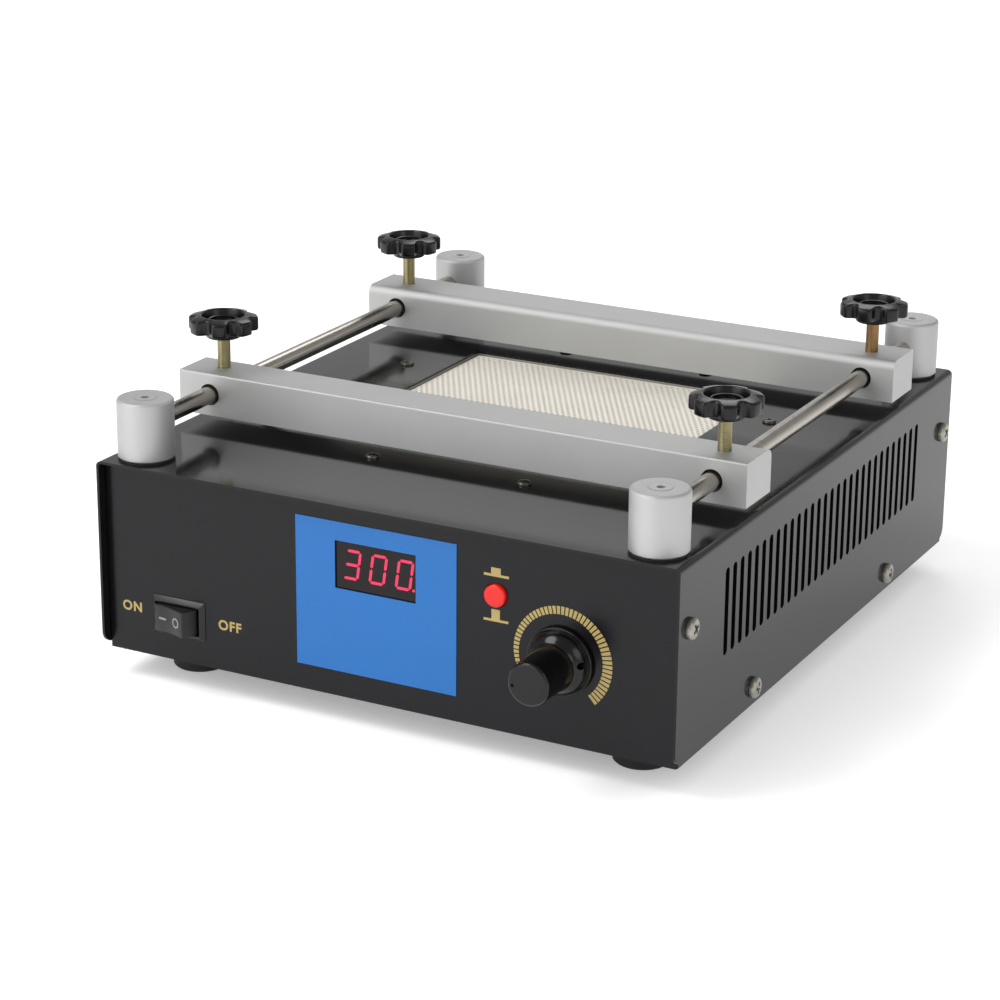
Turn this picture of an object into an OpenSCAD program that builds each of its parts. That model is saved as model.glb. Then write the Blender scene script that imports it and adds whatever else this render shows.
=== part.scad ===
// Bench preheater for circuit boards: a sheet-metal heater box with a meshed window in its top,
// two clamping bars that slide on guide rods above the window, and a front control panel.
// +X is the right-hand side, +Y the back, +Z up. The origin is the bottom centre of the whole part.

/* [Body] */
// Width of the sheet-metal body
body_w = 280; // [270:1:320]
// Depth of the cover, from its front edge to the back
body_d = 317; // [312:1:360]
// Height of the body without its feet
body_h = 88.4; // [86:0.1:110]
// Thickness of the sheet metal
sheet = 1.2; // [1:0.1:1.5]
// Outer radius of the bends along the top edges
bend_r = 2.5; // [2:0.5:5]
// Radius of the lower corners of the side panels
corner_r = 6; // [3:0.5:10]
// How far the side panels stop above the bottom
side_lift = 2.5; // [0.5:0.1:4]
// Height of the low flanges that carry the side panels
lip_h = 16; // [14:1:20]
// Depth of the upright flanges at the front and the back
flange_d = 18; // [15:1:24]

/* [Side vents] */
// Number of slots on each side
slot_count = 30; // [20:1:32]
// Distance from slot to slot
slot_pitch = 7.66; // [7:0.01:8]
// Width of a slot
slot_w = 4; // [2:0.1:4.5]
// Height of a slot
slot_h = 38.6; // [25:0.1:42]
// Distance of the slots' middle below the top
slot_top = 33.7; // [30:0.1:38]

/* [Heater window] */
// Width of the window in the top
window_w = 152; // [140:1:156]
// Depth of the window in the top
window_d = 149; // [140:1:154]
// How far the screen lies below the top face
screen_drop = 2; // [1.6:0.1:4]
// Thickness of the screen
screen_t = 1.5; // [1:0.1:2]
// Solid border of the screen
screen_border = 4; // [3:0.5:8]
// Diagonal of one diamond cell of the mesh
mesh_cell = 12; // [10:0.5:16]
// Width of the webs between the diamonds
mesh_web = 1.4; // [1:0.1:2]
// Ledge that carries the screen
ledge = 4; // [3:0.5:6]
// Inner depth of the heater tub
tub_depth = 42; // [40:1:46]
// Number of quartz tubes
tube_count = 4; // [3:1:4]
// Outer diameter of a quartz tube
tube_d = 12; // [10:0.5:14]
// Bore of a quartz tube
tube_bore = 9.6; // [8:0.1:9.8]
// Distance from tube to tube
tube_pitch = 32; // [28:1:34]
// Thickness of the ceramic tube holders
holder_t = 9; // [7:0.5:12]
// Height of the ceramic tube holders
holder_h = 26; // [24:1:30]
// Thickness of the insulating mat under the tub
mat_t = 8; // [5:0.5:10]
// Distance of the outer screw pairs from the middle of the window
top_screw_far = 95; // [92:0.5:97]
// Half the distance between the two screws of a pair
top_screw_near = 37.5; // [30:0.5:45]

/* [Front panel] */
// How far the front plate lies behind the cover's front edge
fascia_drop = 4.8; // [2:0.1:6]
// Thickness of the printed front plate
fascia_t = 1; // [0.8:0.1:1.5]
// Side margin between the front plate and the cover's outer face
fascia_margin = 1.6; // [1.6:0.1:3]
// Width of the display label
label_w = 77.9; // [60:0.1:84]
// Height of the display label
label_h = 67.8; // [50:0.1:70]
// Thickness of the display label
label_t = 0.3; // [0.2:0.05:0.5]
// Distance of the label's middle below the top
label_top = 42.9; // [40:0.1:44]
// Sideways place of the label and the display
label_x = -2.1; // [-5:0.1:5]
// Width of the display window
display_w = 39.2; // [38.4:0.1:42]
// Height of the display window
display_h = 21.5; // [20:0.1:24]
// Distance of the display window's middle below the top
display_top = 28.1; // [24:0.1:30]
// How far the display lies behind the front face
display_drop = 2.8; // [2.5:0.1:4]
// Distance of the rocker switch from the left side
rocker_side = 38.2; // [35:0.1:50]
// Height of the rocker switch above the bottom of the body
rocker_z = 20.6; // [18:0.1:30]
// Distance of the push button from the right side
button_side = 84.7; // [81:0.1:88]
// Distance of the push button below the top
button_top = 28.1; // [24:0.1:30]
// Diameter of the push button's cap
button_d = 10; // [8:0.5:12]
// How far the cap stands out of the panel
button_out = 2; // [1.8:0.1:4]
// Travel of the push button
button_travel = 1.5; // [1:0.1:1.6]
// Distance of the temperature knob from the right side
dial_side = 54.4; // [44:0.1:56]
// Height of the temperature knob above the bottom of the body
dial_z = 37.4; // [34:0.1:40]
// Diameter of the temperature knob's skirt
dial_d = 30; // [28:0.5:34]
// Length of the temperature knob
dial_l = 29.5; // [24:0.5:32]
// Diameter of the grip at its front
dial_grip_d = 18.6; // [16:0.1:20]

/* [Guide posts and rods] */
// Diameter of the posts
post_d = 25.2; // [22:0.1:28]
// Height of the posts
post_h = 26.8; // [24:0.1:30]
// Distance of the posts' axes from the sides of the body
post_side = 16.5; // [15:0.5:30]
// Distance of the posts' axes from the front and the back of the body
post_end = 15.1; // [14.5:0.1:20]
// Thickness of the washers under the posts
gasket_t = 0.6; // [0.5:0.1:3]
// Diameter of the guide rods
rod_d = 8; // [7:0.1:9]
// Height of the rods above the top face
rod_lift = 15; // [14.5:0.1:16]
// How far a rod runs past the middle of its post
rod_grip = 5; // [4:0.5:7]

/* [Clamping bars] */
// Length of bar past the rods' axes
bar_end = 15.9; // [13:0.1:20]
// Depth of the bars
bar_d = 25.5; // [24:0.5:28]
// Height of the bars
bar_h = 19.5; // [18:0.5:22]
// Radius of the inner top edge of the bars
bar_round = 4; // [2:0.1:5]
// Radius of the outer top edge of the bars
bar_edge = 0.8; // [0.4:0.1:2]
// Diameter of the rod holes in the bars
bar_hole_d = 10; // [9.8:0.1:11]
// How far the bushes lie inside the rod holes
bush_drop = 3; // [2:0.5:4]
// Place of the front bar's middle
front_bar_y = -80.2; // [-110:0.1:-40]
// Place of the rear bar's middle
rear_bar_y = 89.5; // [40:0.1:110]
// Diameter of the clamping studs
stud_d = 6; // [5:0.5:7]
// Length of stud that shows between a bar and its star knob
stud_show = 16.2; // [10:0.1:20]
// Largest diameter of the star knobs
star_d = 31.6; // [30:0.1:36]
// Height of the star knobs
star_h = 9; // [8:0.5:12]
// Number of lobes on a star knob
star_lobes = 7; // [5:1:8]

/* [Feet and screws] */
// Height of the feet
foot_h = 12.6; // [12:0.1:20]
// Diameter of the feet
foot_d = 26; // [22:0.5:30]
// Distance of the feet's middles from the sides of the body
foot_side = 30; // [25:1:45]
// Distance of the feet's middles from the front and the back of the body
foot_end = 33.5; // [25:0.5:45]
// Head diameter of the side screws
side_head_d = 9.4; // [7:0.1:10]
// Thread diameter of the side screws
side_screw_d = 4; // [3:0.5:4]
// Distance of the upper side screws from the front and the back of the body
side_screw_end = 11; // [9.5:0.5:13]
// Height of the upper side screws above the bottom of the body
side_screw_z = 59.9; // [50:0.1:65]
// Distance of the lower side screws from the middle
low_screw_y = 79.2; // [60:0.1:100]
// Height of the lower side screws above the bottom of the body
low_screw_z = 9.4; // [8.5:0.1:11]
// Head diameter of the top screws
top_head_d = 5.6; // [5:0.1:6]
// Thread diameter of the top screws
top_screw_d = 3; // [2.5:0.5:3]

/* [Clearances] */
// Radial clearance of running fits and press fits
fit = 0.05; // [0.02:0.01:0.08]
// Clearance between pieces that pass each other
gap = 0.4; // [0.3:0.05:0.5]
// Clearance between sheet-metal parts that are screwed together
sheet_gap = 0.1; // [0.05:0.05:0.2]

/* [Hidden] */
$fn = 48;
// Cutters reach this far past the faces they cut
over = 1;
z_body = foot_h;
z_top = foot_h + body_h;
y_front = -body_d / 2;
y_face = y_front + fascia_drop;
y_wall = y_face + fascia_t;
y_inside = y_wall + sheet;
y_back = body_d / 2;
tray_w = body_w - 2 * sheet - 2 * sheet_gap;
tray_d = y_back - y_wall;
tray_y = (y_wall + y_back) / 2;
z_floor = z_body + sheet;
post_x = body_w / 2 - post_side;
post_y = body_d / 2 - post_end;
foot_x = body_w / 2 - foot_side;
foot_y = body_d / 2 - foot_end;
rocker_x = rocker_side - body_w / 2;
button_x = body_w / 2 - button_side;
dial_x = body_w / 2 - dial_side;
label_z = body_h - label_top;
display_z = body_h - display_top;
button_z = body_h - button_top;
slot_z = body_h - slot_top;
side_screw_y = body_d / 2 - side_screw_end;
bar_l = 2 * (post_x + bar_end);

// Rods, bars and clamps
z_rod = z_top + rod_lift;
z_post = z_top + gasket_t;
rod_l = 2 * (post_y + rod_grip);
z_bar = z_rod - bar_h / 2;
z_bar_top = z_rod + bar_h / 2;
pad_d = stud_d - 0.2;
pad_t = 1.5;
z_pad = z_rod + rod_d / 2 + fit;
z_stud = z_pad + pad_t + fit;
z_star = z_bar_top + stud_show;
stud_bury = 5;
bush_l = bar_d - 2 * bush_drop;

// Star knobs
star_valley = star_d * 0.8;
star_scallop = star_d * 0.1;
star_edge = 1.2;
star_lobe_h = star_h * 0.72;
star_rim_d = star_d * 0.6;
star_boss_d = star_d * 0.38;
star_groove = 3;
star_boss_wall = 1.5;
star_turns = [14, 0, 33, 22];

// Heater tub
z_under = z_top - sheet;
tub_flange_t = 1;
z_ledge = z_top - screen_drop - screen_t;
tub_w = window_w - 2 * ledge;
tub_d = window_d - 2 * ledge;
z_tub = z_top - tub_depth;
z_tub_out = z_tub - sheet;
flange_edge = top_head_d + 1;
z_tube = z_tub + holder_h / 2 + 2;
thermo_d = 3;
thermo_x = 40;
thermo_nut_w = 8;
thermo_nut_t = 7;
thermo_out = 18;
thermo_in = 40;
z_thermo = z_tub + holder_h + 6;

// Rocker switch
rocker_w = 22;
rocker_h = 12;
rocker_bezel_w = 27.4;
rocker_bezel_h = 18;
rocker_bezel_t = 2;
rocker_rim_t = 0.5;
rocker_tilt = 14;
rocker_vee = 6;
rocker_face = 17.6;
rocker_pin_d = 2.5;
rocker_pin_y = y_face + 0.8;
rocker_valley = 6.3;
rocker_skirt = 0.5;
rocker_foot = 4.5;
rocker_well = 9;
rocker_tab = [6.3, 8, 0.8];
rocker_tab_x = 6;
rocker_bevel = 1.5;
rocker_body_w = rocker_w + 2;
rocker_body_h = rocker_h + 2.6;
rocker_body_d = 20;

// Push button
button_hole_d = button_d + 2 * gap;
button_stem_d = 5;
button_skirt = 4;
switch_w = 15;
switch_d = 15;

// Temperature control
pot_bush_d = 7;
pot_shaft_d = 6;
pot_d = 24;
pot_t = 10;
pot_nut_w = 10;
pot_nut_t = 2;
dial_gap = 0.6;
dial_skirt_t = 2.2;
dial_cone = 6.5;
dial_bore_l = dial_l - 6;
dial_cup_d = pot_nut_w / cos(30) + 3;
dial_cup = pot_nut_t + 1.2;
shaft_front = dial_gap + dial_bore_l - 1;
dial_screw_d = 3;
dial_screw_z = 5.8;
dial_screw_turn = 10;
dial_dot_d = 1.6;
dial_dot_r = 6.9;
dial_dot_turn = 191;

// Fasteners
bolt_d = 5;
bolt_bite = 6.5;
bolt_head_d = 9;
bolt_head_h = 3.5;
set_screw_d = 5;
set_head_d = 10;
set_head_h = 2.6;
set_socket_w = 4;
foot_screw_d = 4;
foot_seat = 4;
side_head_h = 2.8;
side_shank = 6;
top_head_h = 1.9;
top_shank = 6;

// Power entry on the back
inlet_side = 55;
inlet_x = inlet_side - body_w / 2;
inlet_rise = 47.4;
inlet_z = z_body + inlet_rise;
inlet_w = 27;
inlet_h = 20;
inlet_flange_w = 48;
inlet_flange_h = 24;
inlet_flange_t = 2.5;
inlet_depth = 26;
inlet_socket_w = 24.5;
inlet_socket_h = 17;
inlet_socket_d = 17;
fuse_gap = 52;
fuse_x = inlet_x + fuse_gap;
fuse_d = 12;
fuse_cap_d = 16;
fuse_cap_t = 9;
fuse_l = 30;

// Inner pieces
display_body = [37.6, 8, 19];
board_t = 1.6;
display_board_w = 64;
display_board_h = 42;
control_w = 150;
control_d = 46;
control_back = 40;
control_y = y_inside + control_back;
control_lift = 12;
standoff_d = 6;
pin_d = 3;
rear_end = 42;
rear_y = y_back - rear_end;
transformer_side = 78;
transformer_x = body_w / 2 - transformer_side;
transformer_foot = [74, 44, 2];
core = [57, 28, 48];
winding = [36, 46, 32];
winding_lift = 10;
sink_gap = 77;
sink_x = transformer_x - sink_gap;
sink_base = [56, 36, 4];
fin = [1.6, 36, 26];
fin_pitch = 6.5;
fin_half = 4;
terminal_x = inlet_x;
terminal_gap = 36;
terminal = [42, 20, 18];
terminal_hole_d = 4;
terminal_pitch = 8;
relay = [26, 18, 14];
relay_x = -40;
capacitor_d = 12;
capacitor_h = 18;
capacitor_x = 12;
chip = [24, 9, 3.5];
chip_x = 42;
connector = [30, 8, 10];
parts_y = 6;

// The whole part is centred front to back on its box
reach_front = dial_gap + dial_l - y_face;
reach_back = body_d / 2 + fuse_cap_t;
y_shift = (reach_front - reach_back) / 2;

// Colours
black = "#1c1c1e";
paint = "#47474a";
dark_panel = "#333336";
alloy = "#c3c4c2";
steel = "#a8a49c";
zinc = "#d2d0c8";
yellow_zinc = "#b09a5c";
cream = "#e9e4d4";
rubber = "#151516";
board_green = "#2f6b45";

// Moves a piece from the body's middle to the part's own frame
module placed() {
  translate([0, y_shift, 0]) children();
}

// A cylinder along +Y that starts at y = 0
module rod_along_y(d, l) {
  rotate([-90, 0, 0]) cylinder(d = d, h = l);
}

// A cylinder along +X that starts at x = 0
module rod_along_x(d, l) {
  rotate([0, 90, 0]) cylinder(d = d, h = l);
}

// A block centred in X and Y that stands on z = 0
module block(size) {
  translate([-size[0] / 2, -size[1] / 2, 0]) cube(size);
}

// A wall piece in the XZ plane, centred in X and Z, that starts at y = 0
module wall_block(w, t, h) {
  translate([-w / 2, 0, -h / 2]) cube([w, t, h]);
}

// A pan-head screw with its shank along -Z and its seat at z = 0
module pan_screw(head_d, head_h, shank_d, shank_l) {
  rotate_extrude()
    polygon([
      [0, -shank_l], [shank_d / 2, -shank_l], [shank_d / 2, 0], [head_d / 2, 0],
      [head_d / 2, head_h * 0.45], [head_d * 0.42, head_h * 0.8], [head_d * 0.28, head_h], [0, head_h]
    ]);
}

// Children once at each corner of a rectangle
module at_corners(x, y) {
  for (sx = [-1, 1])
    for (sy = [-1, 1])
      translate([sx * x, sy * y, 0]) children();
}

// The eight places of the screws around the heater window
module at_top_screws() {
  at_corners(top_screw_far, top_screw_near) children();
  at_corners(top_screw_near, top_screw_far) children();
}

// The places of the side screws, with +Z pointing out of the panel
module at_side_screws(out) {
  for (side = [-1, 1])
    for (end = [-1, 1]) {
      translate([side * out, end * side_screw_y, z_body + side_screw_z])
        rotate([0, side * 90, 0]) children();
      translate([side * out, end * low_screw_y, z_body + low_screw_z])
        rotate([0, side * 90, 0]) children();
    }
}

// Outline of the folded cover, a rectangle with two round upper corners
module cover_outline(w, h, r) {
  translate([-w / 2, 0]) square([w, h - r]);
  translate([-w / 2 + r, 0]) square([w - 2 * r, h]);
  for (side = [-1, 1])
    translate([side * (w / 2 - r), h - r]) circle(r);
}

module cover_shell() {
  cover_h = body_h - side_lift;
  translate([0, y_back, z_body + side_lift])
    rotate([90, 0, 0])
      linear_extrude(body_d)
        difference() {
          cover_outline(body_w, cover_h, bend_r);
          translate([0, -over]) cover_outline(body_w - 2 * sheet, cover_h - sheet + over, bend_r - sheet);
        }
}

// One vent slot through both side panels
module vent_slot() {
  straight = slot_h - slot_w;
  rotate([0, 90, 0])
    linear_extrude(body_w + 2 * over, center = true) {
      square([straight, slot_w], center = true);
      translate([-straight / 2, 0]) circle(d = slot_w);
      translate([straight / 2, 0]) circle(d = slot_w);
    }
}

// What rounds off a lower corner of both side panels, with its corner at the origin
module corner_cut(end) {
  translate([0, -end * corner_r, corner_r])
    rotate([0, 90, 0])
      linear_extrude(body_w + 2 * over, center = true)
        difference() {
          translate([0, end > 0 ? 0 : -corner_r - over]) square([corner_r + over, corner_r + over]);
          circle(corner_r);
        }
}

module top_cover() {
  color(paint) placed()
    difference() {
      cover_shell();
      translate([0, 0, z_under - over]) block([window_w, window_d, sheet + 2 * over]);
      for (i = [0 : slot_count - 1])
        translate([0, (i - (slot_count - 1) / 2) * slot_pitch, z_body + slot_z]) vent_slot();
      translate([0, y_front, z_body + side_lift]) corner_cut(-1);
      translate([0, y_back, z_body + side_lift]) corner_cut(1);
      translate([0, 0, z_under - over]) {
        at_corners(post_x, post_y) cylinder(d = bolt_d + 2 * fit, h = sheet + 2 * over);
        at_top_screws() cylinder(d = top_screw_d + 2 * fit, h = sheet + 2 * over);
      }
      at_side_screws(body_w / 2 - sheet - over) cylinder(d = side_screw_d + 2 * fit, h = sheet + 2 * over);
    }
}

// Openings of the front wall and the front plate, cut from y = 0 backwards
module panel_openings(depth) {
  translate([label_x, 0, z_body + display_z]) wall_block(display_w, depth, display_h);
  translate([rocker_x, 0, z_body + rocker_z])
    wall_block(rocker_body_w + 2 * fit, depth, rocker_body_h + 2 * fit);
  translate([button_x, 0, z_body + button_z]) rod_along_y(button_hole_d, depth);
  translate([dial_x, 0, z_body + dial_z]) rod_along_y(pot_bush_d + 2 * fit, depth);
}

// Openings of the back wall, cut from y = 0 backwards
module back_openings(depth) {
  translate([inlet_x, 0, inlet_z]) wall_block(inlet_w + 2 * fit, depth, inlet_h + 2 * fit);
  translate([fuse_x, 0, inlet_z]) rod_along_y(fuse_d + 2 * fit, depth);
}

module chassis_tray() {
  wall_h = body_h - sheet - sheet_gap;
  color(paint) placed()
    difference() {
      translate([0, y_back, z_body])
        rotate([90, 0, 0]) linear_extrude(tray_d) cover_outline(tray_w, wall_h, bend_r - sheet);
      translate([0, tray_y, z_floor]) block([tray_w - 2 * sheet, tray_d - 2 * sheet, body_h]);
      translate([0, tray_y, z_body + lip_h]) block([tray_w + 2 * over, tray_d - 2 * flange_d, body_h]);
      translate([0, y_wall - over, 0]) panel_openings(sheet + 2 * over);
      translate([0, y_back - sheet - over, 0]) back_openings(sheet + 2 * over);
      translate([0, 0, z_body - over]) {
        at_corners(foot_x, foot_y) cylinder(d = foot_screw_d + 2 * fit, h = sheet + 2 * over);
      }
      at_side_screws(tray_w / 2 - sheet - over) cylinder(d = side_screw_d + 2 * fit, h = sheet + 2 * over);
    }
}

module front_fascia() {
  w = body_w - 2 * fascia_margin;
  round_r = 1.5;
  color(dark_panel) placed()
    difference() {
      translate([0, y_wall, z_body])
        rotate([90, 0, 0]) linear_extrude(fascia_t) cover_outline(w, body_h - sheet - 2 * sheet_gap, round_r);
      translate([0, y_face - over, 0]) panel_openings(fascia_t + 2 * over);
    }
}

module display_label() {
  color("#3b80cf") placed()
    difference() {
      translate([label_x, y_face - label_t, z_body + label_z]) wall_block(label_w, label_t, label_h);
      translate([label_x, y_face - label_t - over, z_body + display_z])
        wall_block(display_w, label_t + 2 * over, display_h);
    }
}

module led_display() {
  color("#3a2a2c") placed()
    translate([label_x, y_face + display_drop, z_body + display_z])
      wall_block(display_body[0], display_body[1], display_body[2]);
}

// The four pins of the display board, as places in the XZ plane
module at_display_pins() {
  for (sx = [-1, 1])
    for (sz = [-1, 1])
      translate([
        label_x + sx * (display_board_w / 2 - standoff_d / 2 - 1), 0,
        z_body + display_z + sz * (display_board_h / 2 - standoff_d / 2 - 1)
      ])
        children();
}

module display_board() {
  y_board = y_face + display_drop + display_body[1];
  color(board_green) placed()
    difference() {
      translate([label_x, y_board, z_body + display_z])
        wall_block(display_board_w, board_t, display_board_h);
      translate([0, y_board - over, 0]) at_display_pins() rod_along_y(pin_d + 2 * fit, board_t + 2 * over);
    }
}

module display_standoffs() {
  y_board = y_face + display_drop + display_body[1];
  color(zinc) placed()
    at_display_pins() {
      translate([0, y_inside, 0]) rod_along_y(standoff_d, y_board - y_inside);
      translate([0, y_inside, 0]) rod_along_y(pin_d, y_board - y_inside + board_t + 1);
    }
}

module rocker_housing() {
  color(black) placed()
    translate([rocker_x, 0, z_body + rocker_z]) {
      difference() {
        union() {
          hull() {
            translate([0, y_face - rocker_rim_t, 0]) wall_block(rocker_bezel_w, rocker_rim_t, rocker_bezel_h);
            translate([0, y_face - rocker_bezel_t, 0])
              wall_block(rocker_bezel_w - 2 * rocker_bevel, rocker_bezel_t, rocker_bezel_h - 2 * rocker_bevel);
          }
          translate([0, y_face - over, 0]) wall_block(rocker_body_w, rocker_body_d + over, rocker_body_h);
        }
        translate([0, y_face - rocker_bezel_t - over, 0])
          wall_block(rocker_w + 2 * gap, rocker_bezel_t + over + rocker_well, rocker_h + 2 * gap);
      }
      translate([0, rocker_pin_y, -rocker_h / 2 - gap])
        cylinder(d = rocker_pin_d, h = rocker_h + 2 * gap);
      for (side = [-1, 1])
        translate([side * rocker_tab_x, y_face + rocker_body_d, 0])
          wall_block(rocker_tab[0], rocker_tab[1], rocker_tab[2]);
    }
}

module rocker() {
  half = rocker_w / 2 - gap;
  face = rocker_face / 2;
  rise = face * tan(rocker_vee);
  color("#2b2b2d") placed()
    translate([rocker_x, rocker_pin_y, z_body + rocker_z - rocker_h / 2])
      rotate([0, 0, -rocker_tilt])
        difference() {
          linear_extrude(rocker_h)
            polygon([
              [0, -rocker_valley], [face, -rocker_valley - rise],
              [half, rocker_skirt], [rocker_foot, rocker_foot],
              [-rocker_foot, rocker_foot], [-half, rocker_skirt], [-face, -rocker_valley - rise]
            ]);
          translate([0, 0, -over]) cylinder(d = rocker_pin_d + 2 * fit, h = rocker_h + 2 * over);
        }
}

module push_switch() {
  color(black) placed()
    translate([button_x, y_inside, z_body + button_z])
      difference() {
        wall_block(switch_w, switch_d, switch_w);
        translate([0, -over, 0]) rod_along_y(button_hole_d, over + button_skirt + button_travel + gap);
        translate([0, -over, 0]) rod_along_y(button_stem_d + 2 * fit, switch_d + 2 * over);
      }
}

module button_cap() {
  cap_l = button_out + fascia_t + sheet + button_skirt;
  color("#e8312e") placed()
    translate([button_x, y_face - button_out, z_body + button_z]) {
      rotate([-90, 0, 0])
        rotate_extrude()
          polygon([
            [0, 0], [button_d / 2 - 0.8, 0], [button_d / 2, 0.8], [button_d / 2, cap_l], [0, cap_l]
          ]);
      rod_along_y(button_stem_d, cap_l + switch_d - button_skirt - button_travel);
    }
}

module potentiometer() {
  color(steel) placed()
    translate([dial_x, 0, z_body + dial_z])
      difference() {
        union() {
          translate([0, y_inside, 0]) rod_along_y(pot_d, pot_t);
          translate([0, y_face - pot_nut_t - 1, 0])
            rod_along_y(pot_bush_d, fascia_t + sheet + pot_nut_t + 2);
          translate([0, y_inside + pot_t / 2, -pot_d / 2 - 4]) wall_block(14, 2, 10);
        }
        translate([0, y_face - pot_nut_t - 1 - over, 0])
          rod_along_y(pot_shaft_d + 2 * fit, fascia_t + sheet + pot_nut_t + pot_t + over);
      }
}

module potentiometer_nut() {
  color(zinc) placed()
    translate([dial_x, y_face - pot_nut_t, z_body + dial_z])
      difference() {
        rotate([-90, 0, 0]) cylinder(d = pot_nut_w / cos(30), h = pot_nut_t, $fn = 6);
        translate([0, -over, 0]) rod_along_y(pot_bush_d + 2 * fit, pot_nut_t + 2 * over);
      }
}

module potentiometer_shaft() {
  color(alloy) placed()
    translate([dial_x, y_face - shaft_front, z_body + dial_z])
      rod_along_y(pot_shaft_d, shaft_front + fascia_t + sheet + pot_t - 2);
}

module temperature_knob() {
  color(black) placed()
    translate([dial_x, y_face - dial_gap, z_body + dial_z])
      rotate([90, 0, 0])
        difference() {
          rotate_extrude()
            polygon([
                [0, 0], [dial_d / 2, 0], [dial_d / 2, dial_skirt_t], [dial_d / 2 - 1, dial_skirt_t + 1.2],
                [dial_d / 2 - 3.5, dial_cone], [dial_grip_d / 2 + 1.6, dial_cone + 1.2],
                [dial_grip_d / 2 + 0.6, dial_cone + 2.4], [dial_grip_d / 2, dial_l - 1],
                [dial_grip_d / 2 - 1, dial_l], [0, dial_l]
            ]);
          translate([0, 0, -over]) cylinder(d = dial_cup_d, h = dial_cup + over);
          translate([0, 0, -over]) cylinder(d = pot_shaft_d + 2 * fit, h = dial_bore_l + over);
          rotate([0, 0, dial_screw_turn])
            translate([0, 0, dial_screw_z]) rod_along_x(dial_screw_d + 2 * fit, dial_d);
          rotate([0, 0, dial_dot_turn])
            translate([dial_dot_r, 0, dial_l - dial_dot_d / 2]) cylinder(d = dial_dot_d, h = dial_dot_d);
        }
}

module knob_set_screw() {
  l = 5;
  color(zinc) placed()
    translate([dial_x, y_face - dial_gap, z_body + dial_z])
      rotate([90, 0, 0])
        rotate([0, 0, dial_screw_turn])
        translate([pot_shaft_d / 2 + fit, 0, dial_screw_z])
          difference() {
            rod_along_x(dial_screw_d, l);
            translate([l - 1.5, -dial_screw_d, -0.3]) cube([2, 2 * dial_screw_d, 0.6]);
          }
}

// The expanded-metal screen: rows of diamonds, each second row moved by half a cell
module heater_screen() {
  w = window_w - 2 * gap;
  d = window_d - 2 * gap;
  half = (mesh_cell - mesh_web * sqrt(2)) / 2;
  room_x = w / 2 - screen_border - half;
  room_y = d / 2 - screen_border - half;
  rows = floor(2 * room_y / mesh_cell);
  cols = floor(room_x / mesh_cell);
  color(cream) placed()
    translate([0, 0, z_ledge])
      difference() {
        block([w, d, screen_t]);
        for (j = [-rows : rows])
          for (i = [-cols - 1 : cols])
            let (x = (i + (abs(j) % 2) / 2) * mesh_cell)
              if (abs(x) <= room_x)
                translate([x, j * mesh_cell / 2, -over])
                  cylinder(r = half, h = screen_t + 2 * over, $fn = 4);
      }
}

module heater_tub() {
  flange_w = 2 * (top_screw_far + flange_edge);
  color("#b8b8b4") placed()
    difference() {
      union() {
        translate([0, 0, z_under - tub_flange_t]) block([flange_w, flange_w, tub_flange_t]);
        translate([0, 0, z_ledge - sheet])
          block([window_w + 2 * sheet, window_d + 2 * sheet, z_under - z_ledge + sheet]);
        translate([0, 0, z_tub_out]) block([tub_w + 2 * sheet, tub_d + 2 * sheet, z_ledge - z_tub_out]);
      }
      translate([0, 0, z_ledge]) block([window_w, window_d, tub_depth]);
      translate([0, 0, z_tub]) block([tub_w, tub_d, tub_depth]);
      translate([0, 0, z_under - tub_flange_t - over])
        at_top_screws() cylinder(d = top_screw_d + 2 * fit, h = tub_flange_t + 2 * over);
      translate([thermo_x, -tub_d / 2 - sheet - over, z_thermo])
        rod_along_y(thermo_d + 2 * fit, sheet + 2 * over);
    }
}

// Places of the quartz tubes along Y
function tube_y(i) = (i - (tube_count - 1) / 2) * tube_pitch;

module quartz_tubes() {
  l = tub_w - 2 * gap;
  color("#efece2") placed()
    for (i = [0 : tube_count - 1])
      translate([-l / 2, tube_y(i), z_tube])
        difference() {
          rod_along_x(tube_d, l);
          translate([-over, 0, 0]) rod_along_x(tube_bore, l + 2 * over);
        }
}

module tube_holders() {
  color("#ddd8ca") placed()
    for (side = [-1, 1])
      difference() {
        translate([side * (tub_w / 2 - gap - holder_t / 2 - 2), 0, z_tub])
          block([holder_t, tub_d - 2 * gap, holder_h]);
        for (i = [0 : tube_count - 1])
          translate([-tub_w / 2, tube_y(i), z_tube]) rod_along_x(tube_d + 2 * fit, tub_w);
      }
}

module insulating_mat() {
  color("#d8cfb4") placed()
    translate([0, 0, z_tub_out - mat_t]) block([tub_w - 8, tub_d - 8, mat_t]);
}

module thermocouple() {
  y_wall_out = -tub_d / 2 - sheet;
  color(steel) placed()
    translate([thermo_x, y_wall_out, z_thermo]) {
      translate([0, -thermo_out, 0]) rod_along_y(thermo_d, thermo_out + thermo_in);
      translate([0, -thermo_nut_t, 0])
        rotate([-90, 0, 0]) cylinder(d = thermo_nut_w / cos(30), h = thermo_nut_t, $fn = 6);
    }
}

// The four pins of the control board, as places in the XY plane
module at_control_pins() {
  translate([0, control_y, 0])
    at_corners(control_w / 2 - standoff_d / 2 - 1, control_d / 2 - standoff_d / 2 - 1) children();
}

module control_board() {
  z_board = z_floor + control_lift;
  color(board_green) placed() {
    difference() {
      translate([0, control_y, z_board]) block([control_w, control_d, board_t]);
      translate([0, 0, z_board - over])
        at_control_pins() cylinder(d = pin_d + 2 * fit, h = board_t + 2 * over);
    }
    translate([0, control_y, z_board + board_t]) {
      translate([relay_x, 0, 0]) block(relay);
      for (x = [-capacitor_x, capacitor_x])
        translate([x, parts_y, 0]) cylinder(d = capacitor_d, h = capacitor_h);
      translate([chip_x, 0, 0]) block(chip);
      translate([0, -2 * parts_y, 0]) block(connector);
    }
  }
}

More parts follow.
